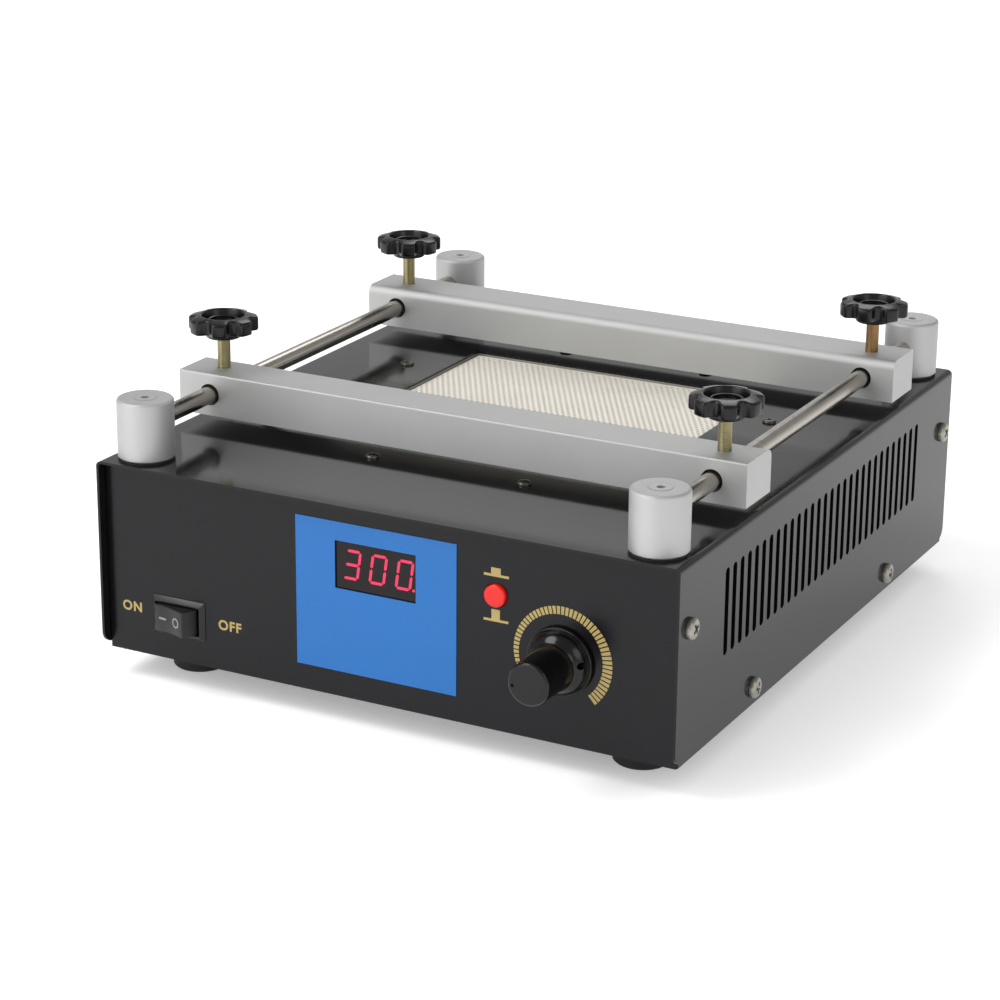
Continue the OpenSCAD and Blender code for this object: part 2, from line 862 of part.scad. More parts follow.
module board_standoffs() {
  color(zinc) placed()
    at_control_pins() {
      translate([0, 0, z_floor]) cylinder(d = standoff_d, h = control_lift);
      translate([0, 0, z_floor]) cylinder(d = pin_d, h = control_lift + board_t + 1);
    }
}

module transformer() {
  color("#6d6a63") placed()
    translate([transformer_x, rear_y, z_floor]) {
      block(transformer_foot);
      translate([0, 0, transformer_foot[2]]) block(core);
      translate([0, 0, winding_lift]) block(winding);
    }
}

module heat_sink() {
  color(alloy) placed()
    translate([sink_x, rear_y, z_floor]) {
      block(sink_base);
      for (i = [-fin_half : fin_half])
        translate([i * fin_pitch, 0, sink_base[2]]) block(fin);
    }
}

module terminal_block() {
  color("#d9d5c8") placed()
    translate([terminal_x, rear_y - terminal_gap, z_floor])
      difference() {
        block(terminal);
        for (i = [-2 : 2])
          translate([i * terminal_pitch, 0, terminal[2] / 3]) cylinder(d = terminal_hole_d, h = terminal[2]);
        translate([0, -terminal[1] / 2, terminal[2] / 2])
          block([terminal[0] + 2 * over, terminal[1] / 2, terminal[2]]);
      }
}

module power_inlet() {
  color(black) placed()
    translate([inlet_x, y_back, inlet_z]) {
      difference() {
        union() {
          wall_block(inlet_flange_w, inlet_flange_t, inlet_flange_h);
          translate([0, -inlet_depth, 0]) wall_block(inlet_w, inlet_depth + over, inlet_h);
        }
        translate([0, inlet_flange_t - inlet_socket_d, 0])
          wall_block(inlet_socket_w, inlet_socket_d + over, inlet_socket_h);
      }
      for (i = [-1 : 1])
        translate([i * 7, inlet_flange_t - inlet_socket_d - over, i == 0 ? 2 : -2]) wall_block(2, 13, 4);
      for (i = [-1 : 1])
        translate([i * 7, -inlet_depth - 8, 0]) wall_block(6.3, 9, 0.8);
    }
}

module fuse_holder() {
  color(black) placed()
    translate([fuse_x, y_back, inlet_z]) {
      rod_along_y(fuse_cap_d, 3);
      rod_along_y(fuse_d, fuse_cap_t);
      translate([0, -fuse_l, 0]) rod_along_y(fuse_d, fuse_l + 1);
    }
}

module guide_posts() {
  rim = 1.5;
  foot_rim = 0.8;
  color(alloy) placed()
    for (sx = [-1, 1])
      for (sy = [-1, 1])
        translate([sx * post_x, sy * post_y, z_post])
          difference() {
            rotate_extrude($fn = 72)
              polygon([
                [0, 0], [post_d / 2 - foot_rim, 0], [post_d / 2, foot_rim], [post_d / 2, post_h - rim],
                [post_d / 2 - rim, post_h], [0, post_h]
              ]);
            translate([0, sy > 0 ? -post_d : -rod_grip - fit, z_rod - z_post])
              rod_along_y(rod_d + 2 * fit, post_d + rod_grip + fit);
            translate([0, 0, -over]) cylinder(d = bolt_d + 2 * fit, h = bolt_bite + over + fit);
            translate([0, 0, z_rod - z_post]) cylinder(d = set_screw_d + 2 * fit, h = post_h);
            translate([0, 0, post_h - set_head_h])
              cylinder(d1 = set_screw_d + 2 * fit, d2 = set_head_d + 2 * fit, h = set_head_h);
          }
}

module post_washers() {
  color(rubber) placed()
    translate([0, 0, z_top])
      at_corners(post_x, post_y)
        difference() {
          cylinder(d = post_d - 0.4, h = gasket_t);
          translate([0, 0, -over]) cylinder(d = bolt_d + 2 * fit, h = gasket_t + 2 * over);
        }
}

module post_bolts() {
  color(zinc) placed()
    translate([0, 0, z_under])
      at_corners(post_x, post_y)
        mirror([0, 0, 1]) pan_screw(bolt_head_d, bolt_head_h, bolt_d, sheet + gasket_t + bolt_bite);
}

module rod_set_screws() {
  l = z_post + post_h - z_rod - rod_d / 2 - fit;
  color(zinc) placed()
    translate([0, 0, z_rod + rod_d / 2 + fit])
      at_corners(post_x, post_y)
        difference() {
          union() {
            cylinder(d = set_screw_d, h = l - set_head_h);
            translate([0, 0, l - set_head_h]) cylinder(d1 = set_screw_d, d2 = set_head_d, h = set_head_h);
          }
          translate([0, 0, l - set_head_h]) cylinder(d = set_socket_w, h = set_head_h + over, $fn = 6);
        }
}

module guide_rod(side) {
  color(steel) placed()
    translate([side * post_x, -rod_l / 2, z_rod]) rod_along_y(rod_d, rod_l);
}

module guide_rod_left() {
  guide_rod(-1);
}

module guide_rod_right() {
  guide_rod(1);
}

module rubber_feet() {
  color(rubber) placed()
    at_corners(foot_x, foot_y)
      difference() {
        rotate_extrude()
          polygon([
            [0, 0], [foot_d / 2 - 1.5, 0], [foot_d / 2 - 0.5, 1], [foot_d / 2, foot_h], [0, foot_h]
          ]);
        translate([0, 0, -over]) cylinder(d = 2 * foot_screw_d + 1, h = foot_h - foot_seat + over);
        translate([0, 0, -over]) cylinder(d = foot_screw_d + 2 * fit, h = foot_h + 2 * over);
      }
}

module foot_screws() {
  color(zinc) placed()
    translate([0, 0, foot_h - foot_seat])
      at_corners(foot_x, foot_y)
        mirror([0, 0, 1]) pan_screw(2 * foot_screw_d, 3, foot_screw_d, 2 * foot_seat + sheet);
}

module side_screws() {
  color(zinc) placed()
    at_side_screws(body_w / 2) pan_screw(side_head_d, side_head_h, side_screw_d, side_shank);
}

module top_screws() {
  color(zinc) placed()
    translate([0, 0, z_top])
      at_top_screws() pan_screw(top_head_d, top_head_h, top_screw_d, top_shank);
}

// Points of an arc from one angle to another
function arc(centre, r, from, to, steps) =
  [for (i = [0 : steps]) let (a = from + (to - from) * i / steps) centre + r * [cos(a), sin(a)]];

// Section of a bar: a rectangle with a wide round on its inner top edge and a fine one outside
module bar_section() {
  polygon(concat(
    [[-bar_d / 2, 0], [bar_d / 2, 0]],
    arc([bar_d / 2 - bar_round, bar_h - bar_round], bar_round, 0, 90, 8),
    arc([bar_edge - bar_d / 2, bar_h - bar_edge], bar_edge, 90, 180, 4)
  ));
}

// A bar with its wide round towards the middle of the window, inner = 1 at the front and -1 at the back
module clamp_bar(y, inner) {
  color(alloy) placed()
    translate([0, y, z_bar])
      difference() {
        translate([-bar_l / 2, 0, 0])
          rotate([90, 0, 90])
            linear_extrude(bar_l) scale([inner, 1]) bar_section();
        for (side = [-1, 1]) {
          translate([side * post_x, -bar_d / 2 - over, bar_h / 2]) rod_along_y(bar_hole_d, bar_d + 2 * over);
          translate([side * post_x, 0, bar_h / 2]) cylinder(d = stud_d + 2 * fit, h = bar_h);
        }
      }
}

module front_bar() {
  clamp_bar(front_bar_y, 1);
}

module rear_bar() {
  clamp_bar(rear_bar_y, -1);
}

// The two black bushes of a bar, open at the top for the studs
module bar_bushes(y) {
  color(black) placed()
    for (side = [-1, 1])
      translate([side * post_x, y - bush_l / 2, z_rod])
        difference() {
          rod_along_y(bar_hole_d - 2 * fit, bush_l);
          translate([0, -over, 0]) rod_along_y(rod_d + 2 * fit, bush_l + 2 * over);
          translate([0, bush_l / 2, 0]) cylinder(d = stud_d + 2 * gap, h = bar_h);
        }
}

module front_bar_bushes() {
  bar_bushes(front_bar_y);
}

module rear_bar_bushes() {
  bar_bushes(rear_bar_y);
}

// The pad under a stud, which presses on the rod and doesn't turn
module clamp_pad(side, y) {
  color("#c9a24a") placed()
    translate([side * post_x, y, z_pad]) cylinder(d = pad_d, h = pad_t);
}

module clamp_pad_front_left() {
  clamp_pad(-1, front_bar_y);
}

module clamp_pad_front_right() {
  clamp_pad(1, front_bar_y);
}

module clamp_pad_rear_left() {
  clamp_pad(-1, rear_bar_y);
}

module clamp_pad_rear_right() {
  clamp_pad(1, rear_bar_y);
}

module clamp_stud(side, y) {
  tip = 0.8;
  l = z_star + stud_bury - z_stud;
  color(yellow_zinc) placed()
    translate([side * post_x, y, z_stud])
      rotate_extrude()
        polygon([[0, 0], [stud_d / 2 - tip, 0], [stud_d / 2, tip], [stud_d / 2, l], [0, l]]);
}

module clamp_stud_front_left() {
  clamp_stud(-1, front_bar_y);
}

module clamp_stud_front_right() {
  clamp_stud(1, front_bar_y);
}

module clamp_stud_rear_left() {
  clamp_stud(-1, rear_bar_y);
}

module clamp_stud_rear_right() {
  clamp_stud(1, rear_bar_y);
}

// Outline of a star knob: a disc with a round scallop between each two lobes
module star_outline() {
  difference() {
    circle(d = star_d);
    for (i = [0 : star_lobes - 1])
      rotate((i + 0.5) * 360 / star_lobes)
        translate([star_valley / 2 + star_scallop, 0]) circle(star_scallop, $fn = 32);
  }
}

// A star knob: lobes with soft edges, a top that rises to a rim, a ring-shaped recess and a boss in it
module star_knob(side, y, turn) {
  color(black) placed()
    translate([side * post_x, y, z_star])
      rotate([0, 0, turn])
        difference() {
          intersection() {
            linear_extrude(star_h) star_outline();
            rotate_extrude($fn = 72)
              polygon([
                [0, 0], [star_d / 2 - star_edge, 0],
                [star_d / 2, star_edge], [star_d / 2, star_lobe_h - star_edge],
                [star_d / 2 - star_edge, star_lobe_h], [star_rim_d / 2 + star_edge, star_h], [0, star_h]
              ]);
          }
          translate([0, 0, star_h - star_groove])
            difference() {
              cylinder(d = star_rim_d, h = star_groove + over);
              translate([0, 0, -over]) cylinder(d = star_boss_d, h = star_groove + 3 * over);
            }
          translate([0, 0, star_h - star_edge]) cylinder(d = star_boss_d + 2 * over, h = star_edge + over);
          translate([0, 0, star_h - star_groove])
            cylinder(d = star_boss_d - 2 * star_boss_wall, h = star_groove + over);
          translate([0, 0, -over]) cylinder(d = stud_d + 2 * fit, h = stud_bury + fit + over);
        }
}

module star_knob_front_left() {
  star_knob(-1, front_bar_y, star_turns[0]);
}

module star_knob_front_right() {
  star_knob(1, front_bar_y, star_turns[1]);
}

module star_knob_rear_left() {
  star_knob(-1, rear_bar_y, star_turns[2]);
}

module star_knob_rear_right() {
  star_knob(1, rear_bar_y, star_turns[3]);
}

chassis_tray();
top_cover();
front_fascia();
display_label();
led_display();
display_board();
display_standoffs();
rocker_housing();
rocker();
push_switch();
button_cap();
potentiometer();
potentiometer_nut();
potentiometer_shaft();
temperature_knob();
knob_set_screw();
heater_screen();
heater_tub();
quartz_tubes();
tube_holders();
insulating_mat();
thermocouple();
control_board();
board_standoffs();
transformer();
heat_sink();
terminal_block();
power_inlet();
fuse_holder();
guide_posts();
post_washers();
post_bolts();
rod_set_screws();
guide_rod_left();
guide_rod_right();
rubber_feet();
foot_screws();
side_screws();
top_screws();
front_bar();
rear_bar();
front_bar_bushes();
rear_bar_bushes();
clamp_pad_front_left();
clamp_pad_front_right();
clamp_pad_rear_left();
clamp_pad_rear_right();
clamp_stud_front_left();
clamp_stud_front_right();
clamp_stud_rear_left();
clamp_stud_rear_right();
star_knob_front_left();
star_knob_front_right();
star_knob_rear_left();
star_knob_rear_right();
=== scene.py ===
# %% [markdown]
# A bench preheater for circuit boards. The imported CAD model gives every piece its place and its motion.
# This lesson dresses it: fine pieces replace plain solids, each surface gets the finish of the real
# material, and a camera, a floor and soft lights set it up as in a product photograph.

# %% The frame
import math

import bmesh
import bpy
from mathutils import Matrix, Vector


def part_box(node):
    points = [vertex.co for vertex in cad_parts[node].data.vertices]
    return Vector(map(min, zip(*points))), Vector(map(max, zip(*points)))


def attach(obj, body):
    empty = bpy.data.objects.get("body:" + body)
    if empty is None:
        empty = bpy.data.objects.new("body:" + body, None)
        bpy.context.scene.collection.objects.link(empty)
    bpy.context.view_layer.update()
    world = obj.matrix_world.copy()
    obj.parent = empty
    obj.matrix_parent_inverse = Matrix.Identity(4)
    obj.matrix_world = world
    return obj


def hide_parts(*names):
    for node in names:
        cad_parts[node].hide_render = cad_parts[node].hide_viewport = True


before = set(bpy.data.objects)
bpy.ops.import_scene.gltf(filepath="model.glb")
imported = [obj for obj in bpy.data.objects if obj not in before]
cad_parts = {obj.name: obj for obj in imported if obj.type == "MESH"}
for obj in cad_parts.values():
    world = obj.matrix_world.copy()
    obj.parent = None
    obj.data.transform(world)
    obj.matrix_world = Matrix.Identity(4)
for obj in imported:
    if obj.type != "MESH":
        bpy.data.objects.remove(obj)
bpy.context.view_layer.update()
MM = 0.001
CORNERS = ((-1, -1), (1, -1), (1, 1), (-1, 1))

# %% [markdown]
# The panel, the display, the posts and the knobs take their places from their CAD solids, so that nothing
# here has to repeat them. A box is two corners, and the middle of a box is used again and again.

# %% Places that come from the solids
def middle(node):
    low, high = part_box(node)
    return (Vector(low) + Vector(high)) / 2


def low_corner(node):
    return Vector(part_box(node)[0])


def high_corner(node):
    return Vector(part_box(node)[1])


PANEL_Y = low_corner("front_fascia").y
BODY_Z = low_corner("front_fascia").z
TOP_Z = high_corner("top_cover").z
print("front panel at y =", round(PANEL_Y / MM, 2), "mm, top at z =", round(TOP_Z / MM, 2), "mm")

# %% [markdown]
# A few small tools do most of the modelling. An operator acts on whatever is selected, so each tool first
# clears the selection. loft() starts from Blender's circle, then extrudes its edge loop ring by ring and
# puts every new loop where it belongs, which gives turned knobs, screw heads and flat prints alike.

# %% Modelling tools
def clear_selection():
    if bpy.context.object and bpy.context.object.mode != "OBJECT":
        bpy.ops.object.mode_set(mode="OBJECT")
    bpy.ops.object.select_all(action="DESELECT")


def pick(piece):
    clear_selection()
    piece.select_set(True)
    bpy.context.view_layer.objects.active = piece


def place_selected(piece, ring):
    mesh = bmesh.from_edit_mesh(piece.data)
    spoke = mesh.verts.layers.int["spoke"]
    for vert in mesh.verts:
        if vert.select:
            vert.co = ring[vert[spoke]]
    bmesh.update_edit_mesh(piece.data)


def cap_ring(piece, ring_number):
    bpy.ops.mesh.select_all(action="DESELECT")
    mesh = bmesh.from_edit_mesh(piece.data)
    row = mesh.verts.layers.int["row"]
    for edge in mesh.edges:
        if all(vert[row] == ring_number for vert in edge.verts):
            edge.select_set(True)
    bmesh.update_edit_mesh(piece.data)
    bpy.ops.mesh.edge_face_add()


def loft(name, rings, caps=True):
    clear_selection()
    bpy.ops.mesh.primitive_circle_add(vertices=len(rings[0]), radius=MM, fill_type="NOTHING")
    piece = bpy.context.object
    piece.name = name
    bpy.ops.object.mode_set(mode="EDIT")
    mesh = bmesh.from_edit_mesh(piece.data)
    spoke = mesh.verts.layers.int.new("spoke")
    row = mesh.verts.layers.int.new("row")
    for number, vert in enumerate(mesh.verts):
        vert[spoke] = number
        vert[row] = 0
    bmesh.update_edit_mesh(piece.data)
    place_selected(piece, rings[0])
    for number, ring in enumerate(rings[1:], start=1):
        bpy.ops.mesh.extrude_region_move()
        mesh = bmesh.from_edit_mesh(piece.data)
        row = mesh.verts.layers.int["row"]
        for vert in mesh.verts:
            if vert.select:
                vert[row] = number
        bmesh.update_edit_mesh(piece.data)
        place_selected(piece, ring)
    if caps:
        cap_ring(piece, 0)
        cap_ring(piece, len(rings) - 1)
    bpy.ops.mesh.select_all(action="SELECT")
    bpy.ops.mesh.normals_make_consistent(inside=False)
    bpy.ops.object.mode_set(mode="OBJECT")
    return piece


def circle(radius, z, count):
    step = 2 * math.pi / count
    return [(radius * math.cos(i * step), radius * math.sin(i * step), z) for i in range(count)]


def turned(name, profile, count):
    return loft(name, [circle(r * MM, z * MM, count) for r, z in profile])


def flat_print(name, outline, back_y, front_y):
    return loft(name, [[(x, y, z) for x, z in outline] for y in (back_y, front_y)])


def settle(piece, matrix):
    pick(piece)
    piece.matrix_world = matrix
    bpy.ops.object.transform_apply(location=True, rotation=True, scale=True)
    return piece


def copy_of(piece, name, matrix):
    clear_selection()
    twin = piece.copy()
    twin.data = piece.data.copy()
    twin.name = name
    bpy.context.collection.objects.link(twin)
    return settle(twin, matrix)


def joined(pieces, name):
    clear_selection()
    for piece in pieces:
        piece.select_set(True)
    bpy.context.view_layer.objects.active = pieces[0]
    bpy.ops.object.join()
    whole = bpy.context.object
    whole.name = name
    return whole


def cut(piece, cutter):
    pick(piece)
    knife = piece.modifiers.new("cut", "BOOLEAN")
    knife.operation = "DIFFERENCE"
    knife.solver = "EXACT"
    knife.object = cutter
    bpy.ops.object.modifier_apply(modifier=knife.name)
    bpy.data.objects.remove(cutter, do_unlink=True)


def soften(piece, width, degrees):
    pick(piece)
    edge = piece.modifiers.new("soft_edges", "BEVEL")
    edge.width = width * MM
    edge.segments = 3
    edge.limit_method = "ANGLE"
    edge.angle_limit = math.radians(degrees)
    bpy.ops.object.modifier_apply(modifier=edge.name)


def repeat(piece, step, count):
    pick(piece)
    row = piece.modifiers.new("row", "ARRAY")
    row.use_relative_offset = False
    row.use_constant_offset = True
    row.constant_offset_displace = step
    row.count = count
    bpy.ops.object.modifier_apply(modifier=row.name)


def smooth(piece, degrees):
    pick(piece)
    bpy.ops.object.shade_smooth_by_angle(angle=math.radians(degrees))


def give(piece, material, body):
    piece.data.materials.clear()
    piece.data.materials.append(material)
    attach(piece, body)
    print(piece.name, "has", len(piece.data.polygons), "faces and rides on", body)


# %% Material tools
def linear(code):
    channels = [int(code[i : i + 2], 16) / 255 for i in (1, 3, 5)]
    return [c / 12.92 if c <= 0.04045 else ((c + 0.055) / 1.055) ** 2.4 for c in channels] + [1.0]


def add(tree, kind, inputs=None, **settings):
    node = tree.nodes.new(kind)
    for key, value in settings.items():
        setattr(node, key, value)
    for key, value in (inputs or {}).items():
        if isinstance(value, bpy.types.NodeSocket):
            tree.links.new(value, node.inputs[key])
        else:
            node.inputs[key].default_value = value
    return node


def finish(name, tones, patch_mm, grain_mm, bump_mm, rough, specular=0.5, **shader):
    material = bpy.data.materials.new(name)
    material.use_nodes = True
    tree = material.node_tree
    tree.nodes.clear()
    place = add(tree, "ShaderNodeTexCoord").outputs["Object"]
    patch = add(tree, "ShaderNodeTexNoise", {"Vector": place, "Scale": 1 / (patch_mm * MM), "Detail": 4.0})
    grain = add(tree, "ShaderNodeTexNoise", {"Vector": place, "Scale": 1 / (grain_mm * MM), "Detail": 2.0})
    tone = add(tree, "ShaderNodeMix", {"Factor": patch.outputs["Fac"]}, data_type="RGBA")
    tone.inputs["A"].default_value = linear(tones[0])
    tone.inputs["B"].default_value = linear(tones[1])
    gloss = add(tree, "ShaderNodeMapRange", {
        "Value": patch.outputs["Fac"], "To Min": rough[0], "To Max": rough[1]
    })
    raised = add(tree, "ShaderNodeBump", {
        "Height": grain.outputs["Fac"], "Distance": bump_mm * MM, "Strength": 1.0
    })
    surface = add(tree, "ShaderNodeBsdfPrincipled", {
        "Base Color": tone.outputs["Result"],
        "Roughness": gloss.outputs["Result"],
        "Specular IOR Level": specular,
        "Normal": raised.outputs["Normal"],
    })
    for key, value in shader.items():
        surface.inputs[key.replace("_", " ").title()].default_value = value
    add(tree, "ShaderNodeOutputMaterial", {"Surface": surface.outputs["BSDF"]})
    return material


def dress(material, *nodes):
    for node in nodes:
        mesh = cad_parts[node].data
        mesh.materials.clear()
        mesh.materials.append(material)


# %% [markdown]
# The body is folded steel with a black semi-gloss powder coat. Such a coat is nearly black from the front
# and mirrors a pale room at a low angle, which is why its top looks grey. Its skin has the slight waviness
# that painters call orange peel, some 2 mm from wave to wave. Faces that point up get a higher refractive
# index than the sides, a painted reflection that makes the top mirror more than the real coat would.

# %% Paint
black_coat = finish(
    "black_powder_coat", ("#0e0e0f", "#131314"), 40, 1.8, 0.006, (0.09, 0.14), specular=0.3
)
tree = black_coat.node_tree
facing = add(tree, "ShaderNodeNewGeometry").outputs["True Normal"]
upward_share = add(tree, "ShaderNodeSeparateXYZ", {"Vector": facing}).outputs["Z"]
# Painted reflection: faces that point up get a higher refractive index, so the top mirrors more than the
# sides.
SIDE_IOR, TOP_IOR = 1.5, 2.1
painted_top_ior = add(tree, "ShaderNodeMapRange", {
    "Value": upward_share, "From Min": 0.6, "To Min": SIDE_IOR, "To Max": TOP_IOR
})
tree.links.new(painted_top_ior.outputs["Result"], tree.nodes["Principled BSDF"].inputs["IOR"])
panel_coat = finish(
    "satin_panel_paint", ("#0b0b0f", "#0e0e12"), 30, 0.6, 0.003, (0.2, 0.26), specular=0.28
)
dress(black_coat, "top_cover", "chassis_tray")
dress(panel_coat, "front_fascia")
print("painted the body and the panel")

# %% [markdown]
# Posts and bars are aluminium that was blasted with fine beads and anodised: an even silver with a soft
# sheen and a grain much finer than a millimetre, drawn here about twice as coarse so that it shows. The
# guide rods are ground steel, which is smoother and a little warmer. Three studs keep the olive tint of
# their passivated zinc, and the one at the back on the right has turned brown.

# %% Metals
alloy = finish("bead_blasted_aluminium", ("#bbbcbb", "#c7c8c7"), 25, 0.5, 0.02, (0.6, 0.68), metallic=1.0)
rod_steel = finish("ground_steel_rod", ("#a39d94", "#b7b2ab"), 8, 0.4, 0.006, (0.2, 0.3), metallic=1.0)
zinc = finish("bright_zinc_plate", ("#c9c6bd", "#dcdad2"), 3, 0.3, 0.004, (0.22, 0.34), metallic=1.0)
dull_zinc = finish(
    "dulled_zinc_plate", ("#8f8d86", "#aaa79e"), 2, 0.3, 0.006, (0.28, 0.42), metallic=1.0
)
dark_zinc = finish(
    "blackened_zinc_plate", ("#4a4844", "#66635d"), 2, 0.3, 0.006, (0.24, 0.34), metallic=1.0
)
tub_steel = finish("rolled_tub_steel", ("#9a9a96", "#b4b3ae"), 20, 1.0, 0.004, (0.3, 0.45), metallic=1.0)
yellow_zinc = finish(
    "yellow_zinc_thread", ("#857d5c", "#9d9470"), 2.5, 0.4, 0.004, (0.26, 0.4), metallic=1.0
)
brown_zinc = finish(
    "heat_browned_zinc", ("#785a3b", "#9c7d55"), 2.5, 0.4, 0.004, (0.26, 0.4), metallic=1.0
)
pad_brass = finish("turned_brass", ("#b08d3e", "#c8a456"), 3, 0.3, 0.003, (0.25, 0.35), metallic=1.0)
core_iron = finish("varnished_core_iron", ("#3c3934", "#57534b"), 6, 0.6, 0.02, (0.35, 0.55), metallic=0.6)
dress(alloy, "front_bar", "rear_bar", "heat_sink", "potentiometer_shaft", "rod_set_screws")
dress(rod_steel, "guide_rod_left", "guide_rod_right", "thermocouple")
dress(zinc, "post_bolts", "foot_screws", "display_standoffs", "board_standoffs", "potentiometer")
dress(zinc, "potentiometer_nut", "knob_set_screw")
dress(tub_steel, "heater_tub")
dress(core_iron, "transformer")
dress(pad_brass, *["clamp_pad_" + end for end in ("front_left", "front_right", "rear_left", "rear_right")])
print("finished the metals")

# %% [markdown]
# Plastics and the rest. Moulded knobs are slightly glossy, the switch is matt, the washers and feet are
# rubber. Inside the tub lie milky quartz tubes in unglazed ceramic holders, over a pressed fibre mat.

# %% Plastics, rubber and what is inside
knob_plastic = finish(
    "moulded_black_knob", ("#050506", "#09090a"), 5, 0.5, 0.004, (0.22, 0.3), specular=0.38
)
dial_plastic = finish(
    "moulded_black_dial", ("#08080a", "#0c0c0e"), 6, 0.4, 0.003, (0.15, 0.21), specular=0.36
)
switch_plastic = finish(
    "black_switch_nylon", ("#121214", "#171719"), 5, 0.4, 0.006, (0.26, 0.34), specular=0.4
)
red_plastic = finish("red_button_plastic", ("#e2180e", "#ec1f14"), 6, 0.5, 0.004, (0.25, 0.35))
rubber = finish("moulded_rubber", ("#0e0e0e", "#181818"), 4, 0.6, 0.02, (0.6, 0.8))
enamel = finish("cream_enamel", ("#dad4c8", "#e4dfd5"), 12, 0.8, 0.01, (0.4, 0.55))
quartz = finish("milky_quartz", ("#e6e2d6", "#f4f1e8"), 10, 1.2, 0.004, (0.12, 0.22))
ceramic = finish("unglazed_ceramic", ("#d3ccba", "#e2dccb"), 6, 0.5, 0.02, (0.6, 0.75))
fibre = finish("pressed_fibre_mat", ("#cfc5a8", "#e0d7bd"), 4, 0.7, 0.1, (0.8, 0.9))
laminate = finish("green_board_laminate", ("#1f5a38", "#2c6f49"), 5, 0.8, 0.01, (0.3, 0.45))
dress(switch_plastic, "push_switch", "power_inlet", "front_bar_bushes", "rear_bar_bushes")
dress(rubber, "rubber_feet", "post_washers")
dress(quartz, "quartz_tubes")
dress(ceramic, "tube_holders", "terminal_block")
dress(fibre, "insulating_mat")
dress(laminate, "display_board", "control_board")
print("finished the plastics and the inner pieces")

# %% [markdown]
# The label is a printed polyester film: a clear blue with a faint gloss. The display behind its window has
# a smoky pane, and its digits are bars of seven segments that glow.

# %% Film, ink and light
blue_film = finish("blue_polyester_film", ("#0a66b2", "#106bb8"), 15, 0.5, 0.003, (0.34, 0.42))
gold_ink = finish("gold_screen_ink", ("#aa955a", "#bba669"), 2, 0.3, 0.01, (0.45, 0.6), metallic=0.25)
grey_ink = finish("grey_mould_ink", ("#858587", "#929294"), 1, 0.2, 0.01, (0.5, 0.6))
display_face = finish(
    "smoked_display_pane", ("#150d0f", "#1b1214"), 8, 0.6, 0.001, (0.12, 0.18), specular=0.25
)
unlit = finish("unlit_segment", ("#170e10", "#1d1316"), 2, 0.3, 0.002, (0.2, 0.3), specular=0.25)
lit = finish(
    "lit_red_segment", ("#b8163e", "#c82048"), 2, 0.3, 0.002, (0.3, 0.4),
    emission_color=linear("#e8285e"), emission_strength=0.6,
)
dress(blue_film, "display_label")
dress(display_face, "led_display")
print("finished the label and the display")

# %% [markdown]
# The heater is covered by a cream plate with thousands of small holes in a triangular pattern, 3 mm apart.
# Six sides are enough for a hole of this size to look round. One six-sided cell is lofted and doubled with
# a shift of half a step, and two arrays spread the pair over the window. Merging the seams and four cuts
# make it one plate, and a narrow rim closes it.

# %% Heater screen
screen_low = low_corner("heater_screen")
screen_high = high_corner("heater_screen")
RIM, RIM_EDGE = 1.0 * MM, 0.3 * MM
HOLE_STEP = 3.0 * MM
HOLE_R = 0.94 * MM
PLATE_DROP, PLATE_T = 0.1 * MM, 0.9 * MM
PLATE_TOP = screen_high.z - PLATE_DROP
PLATE_LOW = PLATE_TOP - PLATE_T
ROW_STEP = HOLE_STEP * math.sqrt(3) / 2
CUT_NEAR = 0.001 * MM


def six_sided(radius, z):
    angles = [math.radians(30 + 60 * number) for number in range(6)]
    return [(radius * math.cos(angle), radius * math.sin(angle), z) for angle in angles]


def weld(piece):
    pick(piece)
    bpy.ops.object.mode_set(mode="EDIT")
    bpy.ops.mesh.select_all(action="SELECT")
    bpy.ops.mesh.remove_doubles(threshold=0.01 * MM)
    bpy.ops.mesh.normals_make_consistent(inside=False)
    bpy.ops.object.mode_set(mode="OBJECT")


def trim(piece, low, high, inset):
    pick(piece)
    bpy.ops.object.mode_set(mode="EDIT")
    for axis in (0, 1):
        for side, corner in ((-1, low), (1, high)):
            normal = Vector((0, 0, 0))
            normal[axis] = side
            bpy.ops.mesh.select_all(action="SELECT")
            edge = corner - normal * inset
            bpy.ops.mesh.bisect(
                plane_co=edge, plane_no=normal, clear_outer=True, use_fill=True, threshold=CUT_NEAR
            )
    bpy.ops.mesh.select_all(action="SELECT")
    bpy.ops.mesh.normals_make_consistent(inside=False)
    bpy.ops.object.mode_set(mode="OBJECT")


def rectangle(inset, z):
    x0, y0 = screen_low.x + inset, screen_low.y + inset
    x1, y1 = screen_high.x - inset, screen_high.y - inset
    return [(x0, y0, z), (x1, y0, z), (x1, y1, z), (x0, y1, z)]


CELL_R = HOLE_STEP / math.sqrt(3)
cell = loft("cell", [
    six_sided(CELL_R, PLATE_TOP), six_sided(HOLE_R, PLATE_TOP),
    six_sided(HOLE_R, PLATE_LOW), six_sided(CELL_R, PLATE_LOW),
], caps=False)
shifted = copy_of(cell, "shifted_cell", Matrix.Translation((HOLE_STEP / 2, ROW_STEP, 0)))
plate = joined([cell, shifted], "plate")
size = screen_high - screen_low
repeat(plate, (HOLE_STEP, 0, 0), int(size.x / HOLE_STEP) + 3)
repeat(plate, (0, 2 * ROW_STEP, 0), int(size.y / (2 * ROW_STEP)) + 3)
settle(plate, Matrix.Translation((screen_low.x - HOLE_STEP, screen_low.y - ROW_STEP, 0)))
weld(plate)
trim(plate, screen_low, screen_high, RIM / 2)
rim = loft("screen_rim", [
    rectangle(RIM, screen_high.z), rectangle(RIM_EDGE, screen_high.z),
    rectangle(0, screen_high.z - RIM_EDGE), rectangle(0, screen_low.z),
    rectangle(RIM, screen_low.z), rectangle(RIM, screen_high.z),
], caps=False)
weld(rim)
screen = joined([plate, rim], "perforated_heater_screen")
give(screen, enamel, "housing")
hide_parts("heater_screen")

